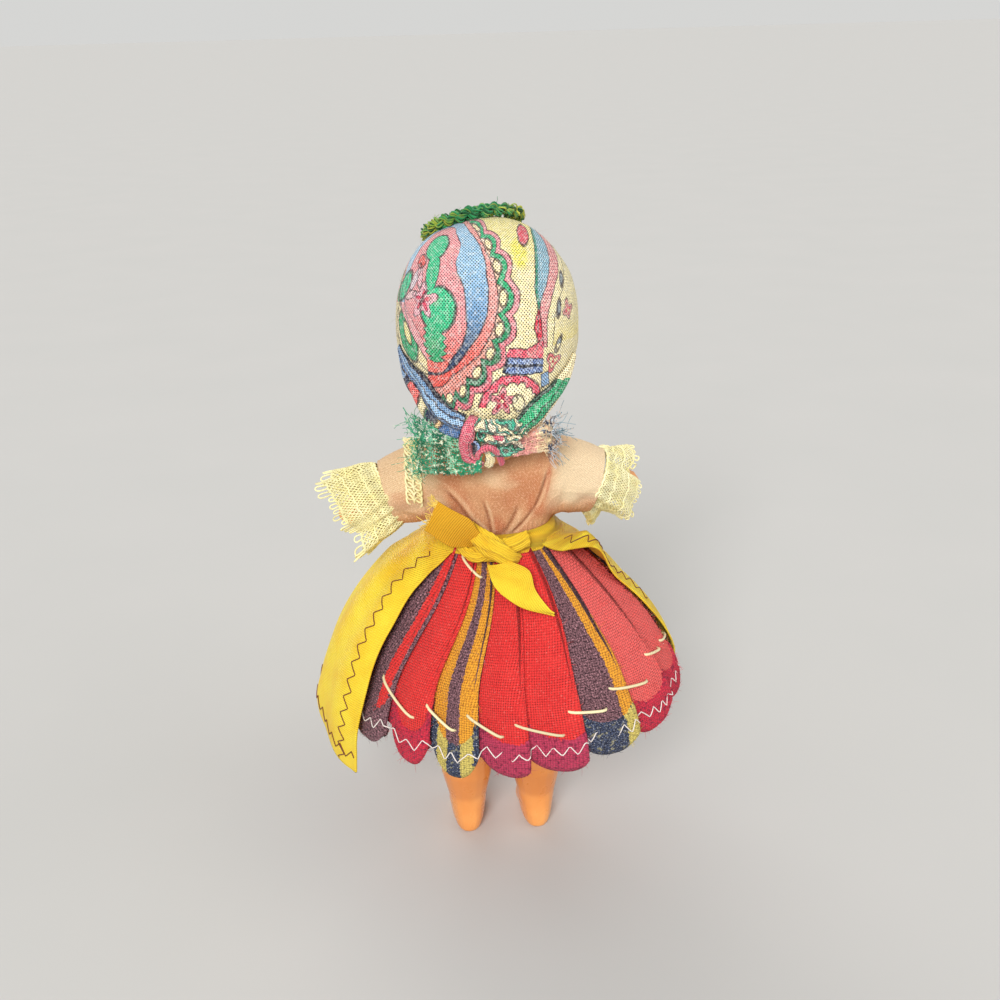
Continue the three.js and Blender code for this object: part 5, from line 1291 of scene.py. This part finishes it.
def frayed_end(side, length, root_half, half, sag, climb, name, finish):
    """An end of the kerchief, of open threads that come loose at its rim."""
    x, y, z = KNOT_SEAT

    def surface(u, v):
        down = np.maximum(v, 0)
        fold = np.cos(3 * math.pi * u) * 0.8 * v + 0.35 * noise(points(u * 12, v * 16, side * 3.0), 2.5, 31)
        return points(x + side * (2.0 + length * v + 0.5 * np.sin(u * 7 + side) * v),
                      y + 0.6 * (1 - v) + fold + 0.9,
                      z + (u - 0.5) * 2 * lerp(root_half, half, down**0.7) + lerp(sag, climb, down**2)
                      + 0.4 * np.sin(u * 9 + v * 4) * v)

    rng = np.random.default_rng(40 + side)
    steps = np.linspace(0, 1, THREAD_STEPS)
    # The threads that run out from the knot, each of its own length.
    count = int(half * 2 / THREAD_PITCH)
    warp_u = (np.arange(count) + 0.5) / count
    v_grid = steps[None] * (1 + 0.16 * rng.random(count))[:, None]
    waver = 0.012 * rng.normal(size=(count, THREAD_STEPS)) * (1 + 4 * smoothstep(v_grid, 0.8, 1.1))
    warp = surface(warp_u[:, None] + waver, v_grid)
    # The threads across them, of which some are lost near the rim.
    count = int(length / THREAD_PITCH)
    weft_v = (np.arange(count) + 0.5) / count
    weft_v = weft_v[rng.random(count) > 0.18 * smoothstep(weft_v, 0.6, 1)][:, None]
    starts, ends = -0.06 * rng.random(weft_v.shape), 1 + 0.06 * rng.random(weft_v.shape)
    u_grid = lerp(starts, ends, steps[None])
    v_grid = weft_v + 0.01 * rng.normal(size=u_grid.shape) + 0.02 * np.sin(u_grid * 9 + weft_v * 30)
    at = np.concatenate([warp, surface(u_grid, v_grid)])
    at[..., 1] += 0.06 * rng.normal(size=at.shape[:2])
    # The stray fibres of the rim.
    stray_u, stray_v = rng.random(STRAYS), 0.8 + 0.25 * rng.random(STRAYS)
    root = surface(stray_u, stray_v)
    outwards = side * (0.6 + rng.random(STRAYS))
    aim = unit(points(outwards, 0.5 * rng.normal(size=STRAYS), 0.9 * rng.normal(size=STRAYS) - 0.2))
    step = steps[None, :, None]
    curl = rng.normal(size=(STRAYS, 1, 3)) * step**2 * 1.4
    curl = curl + 0.4 * np.sin(step * 9 + rng.random((STRAYS, 1, 1)) * 6)
    stray = root[:, None] + aim[:, None] * step * (1 + 2.2 * rng.random((STRAYS, 1, 1))) + curl * step
    radii = np.array([[0.115]] * len(at) + [[0.055]] * STRAYS)
    return strand_mesh(name, np.concatenate([at, stray]), radii, finish, 4)


def gauze_finish(name, stops, speck):
    """Loose threads, each coloured by where it lies and a little by itself."""
    f = Finish(name, 0.9, Sheen_Weight=0.1, Specular_IOR_Level=0.15)
    x, _, z = f.split(f.place())
    tint = f.point_value("tint")
    at = f.join(x, z)
    place = (x - KNOT_SEAT[0]).abs() / 18 + (f.clouds(at, 2.4) - 0.5) * 0.35 + (tint - 0.5) * 0.12
    colour = f.mix(place.ramp(stops), speck, f.clouds(at, 0.8).ease(0.54, 0.64))
    return f.done(f.shade(colour, 0.72 + tint * 0.6))


def make_knot():
    lobe = banded_finish("knot_lobe", [(0, "e0667a"), (0.4, "e67d8a"), (0.62, "d9566a"), (0.86, NAVY),
                                       (0.93, "8fa9c4")])
    arch = banded_finish("knot_arch", [(0, "e0667a"), (0.45, "e8808c"), (0.6, "c23a52"), (0.9, NAVY)])
    bar = marbled_finish("knot_bar", [(0, "2a7a5a"), (0.36, "3fa888"), (0.43, "ece0b8"), (0.5, "5fb79a"),
                                      (0.54, "e8dcc0"), (0.61, "2c7a5c"), (0.66, "9fb9cc")])
    low = marbled_finish("knot_low", [(0, "2a3450"), (0.38, "e8dcc0"), (0.44, "3f9a78"), (0.52, "5fb79a"),
                                      (0.58, "ece0b8"), (0.66, "2a7a5a")])
    inside = banded_finish("knot_inside", [(0, "efe0b0"), (0.45, "e6d6b0"), (0.8, "2c3856")])
    tuck = banded_finish("knot_tuck", [(0, NAVY), (0.3, "8fa9d4"), (0.5, NAVY), (0.7, "c9cfe0"),
                                       (0.85, NAVY)])
    rolls = knot_pieces(lobe, arch, bar, low, inside, tuck)
    greens = gauze_finish("gauze_left", [(0, "2f9a70"), (0.3, "2a8f64"), (0.46, "8fc8a4"), (0.54, "236b4c"),
                                         (0.7, "6fb894"), (0.8, "2f8460"), (0.9, "4fa880")], "dfe8cc")
    pinks = gauze_finish("gauze_right", [(0, "e6a09a"), (0.5, "ecb6a6"), (0.62, "f0dcb4"), (0.75, "3b465c"),
                                         (0.82, "c4ccd2"), (0.9, "6f8f9c")], "e2c0a4")
    left = frayed_end(1, 14.5, 4.6, 6.2, -1.6, 1.2, "end_left_cloth", greens)
    right = frayed_end(-1, 13, 2.4, 3.5, -0.1, 2.0, "end_right_cloth", pinks)
    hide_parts("kerchief_end_left")
    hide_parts("kerchief_end_right")
    for piece in [*rolls, left, right]:
        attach(piece, "head")
    return rolls, left, right


# Ring on the head

RING_SEAT = HEAD_CENTRE + np.array([3.03, -8.18, 22.5])
RING_TILT, RING_ROLL = math.radians(22), math.radians(8)
RING_RADIUS = 9.8
RING_STRANDS = 3
STRAND_FIBRES = 22
RING_STRAYS = 260


def make_ring():
    """Three strands of wool fibres plaited round a ring."""
    f = Finish("ring_wool", 0.95, Sheen_Weight=0.2, Specular_IOR_Level=0.15)
    x, y, z = f.split(f.place())
    tint = f.point_value("tint")
    round_it = (y - RING_SEAT[1]).angle_to(x - RING_SEAT[0]) / TURN + 0.5
    shade = round_it + (f.clouds(f.join(x, y, z), 3) - 0.5) * 0.35 + (tint - 0.5) * 0.22
    colour = shade.ramp([(0, "2f7a3a"), (0.3, "2f7a3a"), (0.42, "a9b53c"), (0.5, "b9bd45"), (0.6, "86a83c"),
                         (0.68, "2c8a52"), (0.86, "2c8a52"), (0.94, "9fb04a"), (1, "b9bd45")], smooth=True)
    wool = f.done(f.shade(f.mix(colour, "1f5a33", (tint * 7).fract().ease(0.7, 0.9)), 0.7 + tint * 0.5))
    steps = 240
    around = np.arange(steps) / steps * TURN
    rng = np.random.default_rng(9)
    tilt_cos, tilt_sin = math.cos(RING_TILT), math.sin(RING_TILT)
    roll_cos, roll_sin = math.cos(RING_ROLL), math.sin(RING_ROLL)
    tilt = np.array([[1, 0, 0], [0, tilt_cos, -tilt_sin], [0, tilt_sin, tilt_cos]])
    turn = tilt @ np.array([[roll_cos, 0, roll_sin], [0, 1, 0], [-roll_sin, 0, roll_cos]])
    paths = []
    for strand in range(RING_STRANDS):
        phase = 8 * around + strand * TURN / RING_STRANDS
        out, up = 1.0 * np.sin(phase), 0.6 * np.sin(2 * phase)
        for fibre in range(STRAND_FIBRES):
            at = rng.random() * TURN + 14 * around
            far = 0.95 * math.sqrt(rng.random()) * (1 + 0.15 * np.sin(5 * around + fibre))
            reach = RING_RADIUS + out + far * np.cos(at)
            paths.append(points(reach * np.sin(around), reach * np.cos(around), up + far * np.sin(at)))
    # The flat ring is tilted, and then lowered till it rests on the cloth all round.
    flat = np.stack([np.sin(around), np.cos(around), np.zeros(steps)], -1) @ turn.T
    heading = unit((flat * RING_RADIUS + RING_SEAT - HEAD_CENTRE) / HEAD_HALF)
    resting = over_head(heading, CROWN_OUTSIDE + 1.3) + flat * 0.5 - np.array([0.9, 0, 0])
    upward = unit(turn @ UP + 0.35 * unit(heading))
    paths = np.array(paths)
    out = np.hypot(paths[..., 0], paths[..., 1]) - RING_RADIUS
    paths = resting + out[..., None] * flat + paths[..., 2:] * upward
    ring = strand_mesh("ring_plait", paths, 0.17, wool, closed=True, guide=UP)
    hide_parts("head_ring")
    pick = rng.integers(0, steps, RING_STRAYS)
    root = paths[rng.integers(0, len(paths), RING_STRAYS), pick]
    aim = unit(unit(root - HEAD_CENTRE) + rng.normal(size=root.shape))
    step = np.linspace(0, 1, 7)[None, :, None]
    reach = 0.5 + 1.3 * rng.random((RING_STRAYS, 1, 1)) ** 3
    curl = rng.normal(size=(RING_STRAYS, 1, 3)) * 0.5 * step**2 * reach
    lines = root[:, None] + step * aim[:, None] * reach + curl
    stray = strand_mesh("ring_strays", lines, 0.045, wool, 4)
    for piece in (ring, stray):
        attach(piece, "head")


# Blouse

SHOULDER = np.array([14.7, 0, 100.5])
# The middle of the sleeve's end, from the shoulder, before the arm turns.
SLEEVE_MOUTH = (10.6, 0, -3.0)
ARM_TURN = {1: math.radians(14), -1: math.radians(-6)}
SLEEVE_END = 25.3
BLOUSE_TOP = track([(0, 109.0), (5, 109.6), (9, 109.6), (13, 109.0), (17, 109.0), (21, 107.7),
                    (SLEEVE_END, 105.4)])
BLOUSE_BOTTOM = track([(0, 84.5), (9, 84.5), (12, 85.4), (13.6, 88.2), (15.4, 90), (20, 89.9),
                       (SLEEVE_END, 89.8)])
BLOUSE_DEPTH = track([(0, 9.7), (6, 9.9), (12, 9.6), (16, 9.1), (20, 8.6), (SLEEVE_END, 7.9)])
# Folds in the back of the blouse: the two ends of each, as (x, z), its half width, and its depth.
BACK_FOLDS = [((1.3, 87.4), (6.6, 93.4), 0.8, 1.3), ((5.6, 92.0), (12.4, 101.5), 1.1, 1.1),
              ((1.0, 88.0), (3.2, 98.5), 0.8, 0.9), ((-3.4, 88.4), (-9.4, 95.4), 0.8, -1.3),
              ((-9.0, 94.4), (-12.8, 104.5), 0.9, -1.4), ((-1.6, 88.5), (-5.6, 96.5), 1.3, -0.7),
              ((13.4, 88.6), (16.8, 98.8), 0.8, 1.2), ((-14.6, 91.0), (-16.8, 101.5), 1.2, -0.5),
              ((17.0, 92.5), (24.4, 96.0), 1.2, 0.7), ((-17.5, 93.2), (-24.5, 98.0), 1.6, -0.5),
              ((4.8, 97.4), (11.6, 105.6), 1.6, 0.6)]
SHADED_FOLDS = 6


def blouse_folds(x, z):
    depth = 0
    for (x0, z0), (x1, z1), half, size in BACK_FOLDS:
        ahead = np.array([x1 - x0, z1 - z0])
        length = np.linalg.norm(ahead)
        ahead = ahead / length
        along = ((x - x0) * ahead[0] + (z - z0) * ahead[1]) / length
        aside = ((x - x0) * -ahead[1] + (z - z0) * ahead[0]) / half
        shown = smoothstep(along, -0.05, 0.15) * (1 - smoothstep(along, 0.7, 1.15))
        depth = depth + size * aside * np.exp(-(aside**2)) * shown
    return depth


def blouse_surface(side):
    turn = ARM_TURN[side]
    out_by, _, down_by = SLEEVE_MOUTH
    end = SHOULDER + np.array([out_by, -down_by * math.sin(turn), down_by * math.cos(turn)])

    def surface(u, v):
        x = lerp(-0.5, 25.6, v)
        out = np.clip(x, 0, SLEEVE_END)
        share = smoothstep(out, 14, SLEEVE_END)
        top, bottom = BLOUSE_TOP(out), BLOUSE_BOTTOM(out)
        middle, half = (top + bottom) / 2, (top - bottom) / 2
        middle = middle + share * (end[2] - 97.6)
        deep = BLOUSE_DEPTH(out)
        angle = u * TURN
        across, high = np.sin(angle), np.cos(angle)
        waist = smoothstep(-high, 0.0, 0.4) * (1 - smoothstep(out, 9, 16))
        power = 2 / lerp(lerp(2.7, 2.0, share), 4.6, waist)
        z = middle + half * np.sign(high) * np.abs(high) ** power
        y = deep * np.sign(across) * np.abs(across) ** power
        # The waistband draws the cloth in.
        inner = 10.7 * np.clip(1 - (out / 14.2) ** 2.3, 0.02, 1) ** (1 / 2.3)
        drawn = (1 - smoothstep(z, 88.5, 94)) * (1 - smoothstep(out, 13.0, 16.5))
        y = lerp(y, np.clip(y, -inner, inner), drawn)
        gather = 0.16 * np.sin(x * 5.2 + 1.2 * np.sin(z)) * (1 - smoothstep(z, 89, 97))
        gather = gather * smoothstep(z, 84, 88)
        ease = 0.35 * noise(points(x * side, y, z), 6, 51) + 0.14 * noise(points(x * side, y, z), 2.2, 52)
        back = smoothstep(across, 0.2, 0.7)
        lift = blouse_folds(x * side, z) * back + gather + ease
        y = y + lift * across
        z = z + (0.5 * ease) * high
        y = y + share * end[1]
        lean = 0.28 * share * (z - middle)
        return points(side * (x + lean), y, z)

    return surface


def blouse_finish():
    f = Finish("blouse_twill", 0.85, Sheen_Weight=0.04, Specular_IOR_Level=0.1)
    across, along, _ = f.uv("cloth")
    place = f.place()
    x, y, z = f.split(place)
    colour = f.mix("c6845b", "d8a074", f.clouds(place, 8, 3).ease(0.3, 0.7))

    def stain(at_x, at_z, wide, high, lean, strength):
        a, b = x - at_x, z - at_z
        p = a * math.cos(lean) + b * math.sin(lean)
        q = b * math.cos(lean) - a * math.sin(lean)
        ragged = (f.clouds(place, 3) - 0.5) * 0.9
        spread = ((p / wide) * (p / wide) + (q / high) * (q / high)).sqrt() + ragged
        return spread.ease(0.3, 1.1, strength, 0) * (y > 0)

    red = stain(-12.7, 101.6, 0.9, 4.6, 0.2, 0.9).max(stain(-0.2, 90.6, 2.6, 4.0, 0.0, 0.6))
    red = red.max(stain(22.5, 98.0, 4.0, 3.4, 0.3, 0.35)).max(stain(-23.0, 95.0, 4.6, 2.4, 0.4, 0.25))
    red = red.max(stain(-9.5, 95.0, 2.6, 4.5, -0.5, 0.45)).max(stain(14.6, 93.0, 2.2, 5.0, 0.1, 0.35))
    red = red.max(stain(8.0, 96.0, 3.2, 5.5, -0.5, 0.4))
    # Painted highlight over the tops of the sleeves, paler on the right sleeve than the left, mixed with random
    # pale patches in the cloth.
    sleeve_highlight = (x.abs() + (f.clouds(place, 7) - 0.5) * 14).ease(11, 19, 0, 0.7) * z.ease(92, 97)
    pale = f.mix("f6e5be", "e9cda2", x.ease(-6, 6))
    colour = f.mix(colour, pale, sleeve_highlight.max(f.clouds(place, 11).ease(0.55, 0.75) * 0.4))
    colour = f.mix(colour, "bd6540", red)
    # Painted shade along the first creases, with a painted highlight on the ridge beside each.
    for (x0, z0), (x1, z1), half, _ in BACK_FOLDS[:SHADED_FOLDS]:
        length = math.hypot(x1 - x0, z1 - z0)
        ahead, aside = (x1 - x0) / length, (z1 - z0) / length
        far = ((x - x0) * ahead + (z - z0) * aside) / length
        off = (z - z0) * ahead - (x - x0) * aside + (far - 0.5) * (far - 0.5) * 2 - 0.3
        shown = far.ease(0.0, 0.15) * far.ease(0.7, 1.0, 1, 0) * (y > 0)
        # painted highlight on the ridge
        colour = f.mix(colour, "f2cfa4", (off - half * 0.9).abs().ease(0.0, half * 0.8, 0.45, 0) * shown)
        # painted shade in the crease
        colour = f.mix(colour, "8f5230", off.abs().ease(0.05, 0.2 + half * 0.45, 0.6, 0) * shown)
    twill = ((across + along) * (TURN / 0.5)).sin() * 0.5 + 0.5
    cross = ((across - along) * (TURN / 0.42)).sin() * 0.5 + 0.5
    thread = f.clouds(f.join((across + along) * 0.5, (across - along) * 1.0), 0.36, 1)
    colour = f.mix(colour, "f6e0c0", thread.ease(0.5, 0.72) * 0.3)
    colour = f.shade(colour, (0.86 + twill * 0.18 + cross * 0.07) * thread.ease(0.3, 0.7, 0.9, 1.08))
    return f.done(colour, twill * 0.7 + cross * 0.3, 0.11)


def make_blouse():
    twill = blouse_finish()
    halves = []
    for side, name in ((1, "left"), (-1, "right")):
        surface = blouse_surface(side)
        half = sheet_mesh(f"blouse_{name}_cloth", surface, 200, 140, twill, 0.45, grid_pattern(surface),
                          closed=True, flip=side > 0)
        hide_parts(f"sleeve_{name}")
        settle(half)
        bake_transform(half)
        halves.append(half)
    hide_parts("blouse_bodice")
    return halves


# Lace

def turned_arm(side, at):
    """Points given for the left arm before it turns, placed on either side's arm."""
    at = np.asarray(at, float)
    c, s = math.cos(ARM_TURN[side]), math.sin(ARM_TURN[side])
    y, z = at[..., 1] * c - at[..., 2] * s, at[..., 1] * s + at[..., 2] * c
    return points((at[..., 0] + SHOULDER[0]) * side, y + SHOULDER[1], z + SHOULDER[2])


CUFFS = {1: ((10.8, -1.2, -4.6), 10.4), -1: ((3.6, -6.6, -4.2), 9.5)}
# How many lobes each cuff's rim has, how deep they are, and the angle of the upper one.
CUFF_LOBES = {1: (3, 0.12, 0.7), -1: (4, 0.13, 1.92)}


def cuff_surface(side, lift=0.0):
    """The cuff opens out from the sleeve's end, gathered there, to a ruffled rim in a few lobes."""
    reach, rim = CUFFS[side]
    count, depth, high = CUFF_LOBES[side]
    end_axis = unit([5.3, 0, -2.7])
    start, rim_axis = np.array(SLEEVE_MOUTH), unit(reach)

    def surface(u, v):
        angle = u * TURN
        v = np.asarray(v, float)
        axis = unit(lerp(end_axis, rim_axis, np.clip(v, 0, 1)[..., None]))
        back = unit(np.array([0, 1, 0]) - axis[..., 1:2] * axis)
        upward = np.cross(axis, back)
        gather = 0.05 * np.cos(17 * angle + 3 * v) * smoothstep(v, 0, 0.1) * (1 - smoothstep(v, 0.3, 0.7))
        ruffle = 0.13 * np.cos(7 * angle + 0.8) + 0.07 * np.sin(4 * angle + 2) + 0.05 * np.sin(13 * angle + 2)
        lobes = depth * np.cos(count * (angle - high))
        # The right arm swings this side of its rim down to the apron.
        flat = (0.24 if side < 0 else 0) * np.clip(np.cos(angle - 3.9), 0, 1) ** 2
        radius = lerp(7.6, rim, v**0.75) * (1 + gather + v * (ruffle + lobes - flat)) + lift
        centre = start + v[..., None] * np.array(reach) - 0.5 * (1 - v[..., None]) * end_axis
        fall = v * (9 * lobes + 0.5 * np.sin(5 * angle + 2))
        at = centre + (radius * np.cos(angle))[..., None] * back
        at = at + (radius * np.sin(angle))[..., None] * upward + fall[..., None] * axis
        return turned_arm(side, at)

    return surface


def lace_finish(name, base):
    f = Finish(name, 0.9, Sheen_Weight=0.04, Specular_IOR_Level=0.15)
    place = f.place()
    colour = f.mix(base, "f4e9a8", f.clouds(place, 5, 3).ease(0.35, 0.75))
    colour = f.mix(colour, "dfcd86", f.clouds(place, 2.2).ease(0.6, 0.8) * 0.5)
    return f.done(f.shade(colour, 0.86 + f.point_value("tint") * 0.22), f.clouds(place, 0.16), 0.05)


def net_lines(surface, u, cells, rows, share, sharpness, shift):
    """Threads that wave up and down, each against the next, to make rows of six-sided meshes."""
    lines = []
    for row in range(rows):
        wave = np.abs(np.mod(u * cells + 0.5 * (row % 2) + shift, 1) * 2 - 1) * 2 - 1
        middle = (row + 0.5) / rows * share
        lines.append(surface(u, middle + np.clip(sharpness * wave, -1, 1) * 0.5 / rows * share))
    return lines


CUFF_CELLS = 84
# The cords sewn round a cuff, as (share of its length, radius).
CUFF_CORDS = [(0.02, 0.3), (0.3, 0.2), (0.62, 0.2), (0.9, 0.26)]
SCALLOPS = 11
FINGER_HALF_WIDTH = 0.0075
SHOULDER_LOOPS = 15


def make_cuff(side, name, finish):
    """A net of six-sided meshes, a second one inside it, sewn cords, and fingers of looped thread at its rim."""
    surface = cuff_surface(side)
    steps = CUFF_CELLS * 6
    u = np.arange(steps) / steps
    lines = net_lines(surface, u, CUFF_CELLS, 19, 0.93, 1.7, 0)
    net = strand_mesh(f"cuff_{name}_net", lines, 0.15, finish, 4, closed=True)
    lines = net_lines(cuff_surface(side, -0.6), u, 62, 13, 0.9, 1.6, 0.2)
    backing = strand_mesh(f"cuff_{name}_backing", lines, 0.17, finish, 4, closed=True)
    cords = [surface(u, level + 0.012 * np.sin(u * TURN * 28)) for level, _ in CUFF_CORDS]
    radii = np.array([[radius] for _, radius in CUFF_CORDS])
    cord = strand_mesh(f"cuff_{name}_cord", cords, radii, finish, closed=True)
    # Three fingers to a scallop, and round loops between them.
    loops = []
    step = np.linspace(0, 1, 15)
    for k in range(SCALLOPS * 4):
        finger = k % 4 != 3
        length = (0.2 if side > 0 else 0.17) * (1.0 if finger else 0.5) * (1 + 0.2 * math.sin(k * 5.1))
        up = np.sin(step * math.pi) ** (0.45 if finger else 0.8)
        across = -np.cos(step * math.pi) * FINGER_HALF_WIDTH * (0.75 + 0.35 * up)
        loops.append(surface((k + 0.5) / (SCALLOPS * 4) + across, 0.9 + up * length))
    picots = strand_mesh(f"cuff_{name}_picots", loops, 0.2, finish)
    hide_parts(f"lace_cuff_{name}")
    for piece in (net, backing, cord, picots):
        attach(piece, f"arm_{name}")
    return net, [backing, cord, picots]


def make_shoulder_lace(finish):
    """Two columns of twisted loops on the left shoulder seam."""
    loops = []
    angle = np.linspace(0, TURN, 25)[:-1]
    along, aside = 1.35 * np.sin(angle), 0.85 * np.cos(angle) + 0.35 * np.sin(angle)
    for column in (0, 1):
        for k in range(SHOULDER_LOOPS):
            place = math.radians(lerp(-36, 112, (k + 0.5 * column + 0.4) / (SHOULDER_LOOPS + 0.5)))
            radius = 9.35 + 0.3 * np.sin(2 * angle + column * 2) + 0.3 * (k % 2)
            turn = place + along / 9.3
            x = 3.7 + 1.75 * column + aside + 0.15 * math.sin(k * 3)
            loops.append(turned_arm(1, points(x, radius * np.cos(turn), radius * np.sin(turn))))
    lace = strand_mesh("shoulder_loops", loops, 0.27, finish, 6, closed=True)
    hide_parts("shoulder_lace")
    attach(lace, "arm_left")
    return lace


knot_parts, end_left, end_right = make_knot()
make_ring()
blouse = make_blouse()
left_lace, right_lace = lace_finish("left_lace", "fbf3bd"), lace_finish("right_lace", "faf3c4")
cuff_left, cuff_left_trim = make_cuff(1, "left", left_lace)
cuff_right, cuff_right_trim = make_cuff(-1, "right", right_lace)
shoulder_lace = make_shoulder_lace(lace_finish("shoulder_thread", "f6ebbc"))


# Plastic body

HEEL_HEIGHT = 6.5
HEEL_TAPER = 0.34


def plastic_finish(name, painted=None):
    f = Finish(name, 0.32, Coat_Weight=0.3, Coat_Roughness=0.2)
    place = f.place()
    colour = f.mix("e48f46", "f0a45a", f.clouds(place, 14, 3).ease(0.3, 0.7))
    colour = f.mix(colour, "cf7634", f.clouds(place, 9).ease(0.6, 0.8) * 0.25)
    _, _, z = f.split(place)
    # Painted shade on the upper legs below the skirt, from about 10 to 28 mm up.
    colour = f.mix(colour, "c87234", z.ease(9.5, 11.5) * z.ease(15, 28, 1, 0) * 0.4)
    height = f.clouds(place, 7)
    if painted:
        colour = painted(f, place, colour)
    return f.done(colour, height, 0.12, f.clouds(place, 3, 3).ease(0.3, 0.8, 0.26, 0.42))


def smooth_copy(name, node, voxel, rounds, material):
    """A moulded piece with its facets smoothed away. voxel is in mm."""
    piece = bpy.data.objects.new(name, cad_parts[node].data.copy())
    scene.collection.objects.link(piece)
    piece.data.materials.clear()
    piece.data.materials.append(material)
    remesh = piece.modifiers.new("remesh", "REMESH")
    remesh.mode = "VOXEL"
    remesh.voxel_size = voxel * MM
    remesh.use_smooth_shade = True
    smooth = piece.modifiers.new("smooth", "SMOOTH")
    smooth.factor = 0.5
    smooth.iterations = rounds
    settle(piece)
    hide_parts(node)
    return piece


def taper_heel(leg):
    """The heel narrows towards the sole."""
    at = read(leg.data.vertices, "co", 3)
    low = np.clip(1 - at[:, 2] / (HEEL_HEIGHT * MM), 0, 1)
    behind = smoothstep(at[:, 1], -11 * MM, -2 * MM)
    middle = at[at[:, 2] < 14 * MM, 0].mean()
    at[:, 0] = middle + (at[:, 0] - middle) * (1 - HEEL_TAPER * low * behind)
    leg.data.vertices.foreach_set("co", at.ravel())
    leg.data.update()


def painted_face(f, place, colour):
    """A plain doll's face, with side-glancing eyes, thin brows, small mouth and rosy cheeks, and its hair."""
    x, y, z = f.split(place)
    z = z - HEAD_CENTRE[2]
    front = y < -6

    def spot(at_x, at_z, wide, high):
        a, b = (x - at_x) / wide, (z - at_z) / high
        return (a * a + b * b).sqrt()

    def paint(code, where):
        nonlocal colour
        colour = f.mix(colour, code, where * front)

    for side in (-1, 1):
        paint("d9604c", spot(9.6 * side, -7.4, 4.4, 3.6).ease(0.1, 1.1, 0.6, 0))
        eye = spot(7.3 * side, -1.2, 3.1, 2.2)
        paint("f4efe6", eye < 1)
        paint("3e6f9a", (spot(7.3 * side + 0.7, -1.2, 1.55, 1.8) < 1) * (eye < 1))
        paint("161314", spot(7.3 * side + 0.7, -1.2, 0.8, 0.95) < 1)
        # The white dot in each eye is a painted highlight.
        paint("ffffff", spot(7.3 * side + 1.2, -0.4, 0.35, 0.35) < 1)
        paint("3a2018", ((eye - 1).abs() < 0.13) * (z > -1.6))
        lash = (spot(7.3 * side, -1.2, 3.9, 3.0) < 1) * (((x - 7.3 * side).angle_to(z + 1.2) * 9).sin() > 0.7)
        paint("3a2018", lash * (eye > 1) * (z > 0.0))
        paint("6b3d22", ((spot(7.5 * side, 0.6, 4.6, 4.4) - 1).abs() < 0.075) * (z > 3.4))
        paint("a85438", spot(0.85 * side, -6.1, 0.34, 0.26) < 1)
    lips = spot(0, -9.8, 2.5, 0.85).min(spot(-0.95, -9.4, 1.3, 0.85)).min(spot(0.95, -9.4, 1.3, 0.85))
    paint("bf2f3c", lips.min(spot(0, -10.9, 1.8, 0.95)) < 1)
    paint("6e1520", ((z + 10.25 - x * x * 0.05).abs() < 0.13) * (x.abs() < 2.2))
    # Moulded hair round the forehead and temples.
    hairline = 8.6 + (x * 0.55).cos() * 0.9 - (x.abs() - 9).max(0) * 1.5
    strands = f.clouds(f.join(x, y * 0.3, z * 0.3), 0.5, 2)
    hair = (z > hairline + (f.clouds(place, 1.2) - 0.5) * 0.8).max(y > 5)
    return f.mix(colour, f.mix("4a2c18", "74492a", strands), hair)


def make_body():
    skin = plastic_finish("skin_plastic")
    face = smooth_copy("head_smooth", "head", 0.42, 6, plastic_finish("painted_face", painted_face))
    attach(face, "head")
    for side in ("left", "right"):
        arm = smooth_copy(f"arm_{side}_smooth", f"arm_{side}", 0.3, 5, skin)
        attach(arm, f"arm_{side}")
        leg = smooth_copy(f"leg_{side}_smooth", f"leg_{side}", 0.4, 6, skin)
        taper_heel(leg)
        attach(leg, f"leg_{side}")
    steel = Finish("steel_wire", 0.35, Metallic=1.0)
    steel.done(steel.mix("8f8f8c", "a5a5a2", steel.clouds(steel.place(), 0.8)),
               steel.clouds(steel.place(), 0.3), 0.02)
    elastic = Finish("elastic_cord", 0.85)
    x, y, z = elastic.split(elastic.place())
    braid = ((x * 3.2).sin() * ((y.angle_to(z) * 4) + x * 3).sin()) * 0.5 + 0.5
    elastic.done(elastic.mix("cfc4ac", "ece3cf", braid), braid, 0.1)
    for name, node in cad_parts.items():
        finish = skin if name == "torso" else steel.material if "washer" in name or "hook" in name else None
        finish = elastic.material if "elastic" in name else finish
        if finish:
            node.data.materials.clear()
            node.data.materials.append(finish)


make_body()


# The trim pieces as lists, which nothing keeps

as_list(skirt_trim)
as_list(apron_seams)
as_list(knot_rolls)
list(kerchief_trim)
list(knot_parts)
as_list(cuff_left_trim)
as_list(cuff_right_trim)
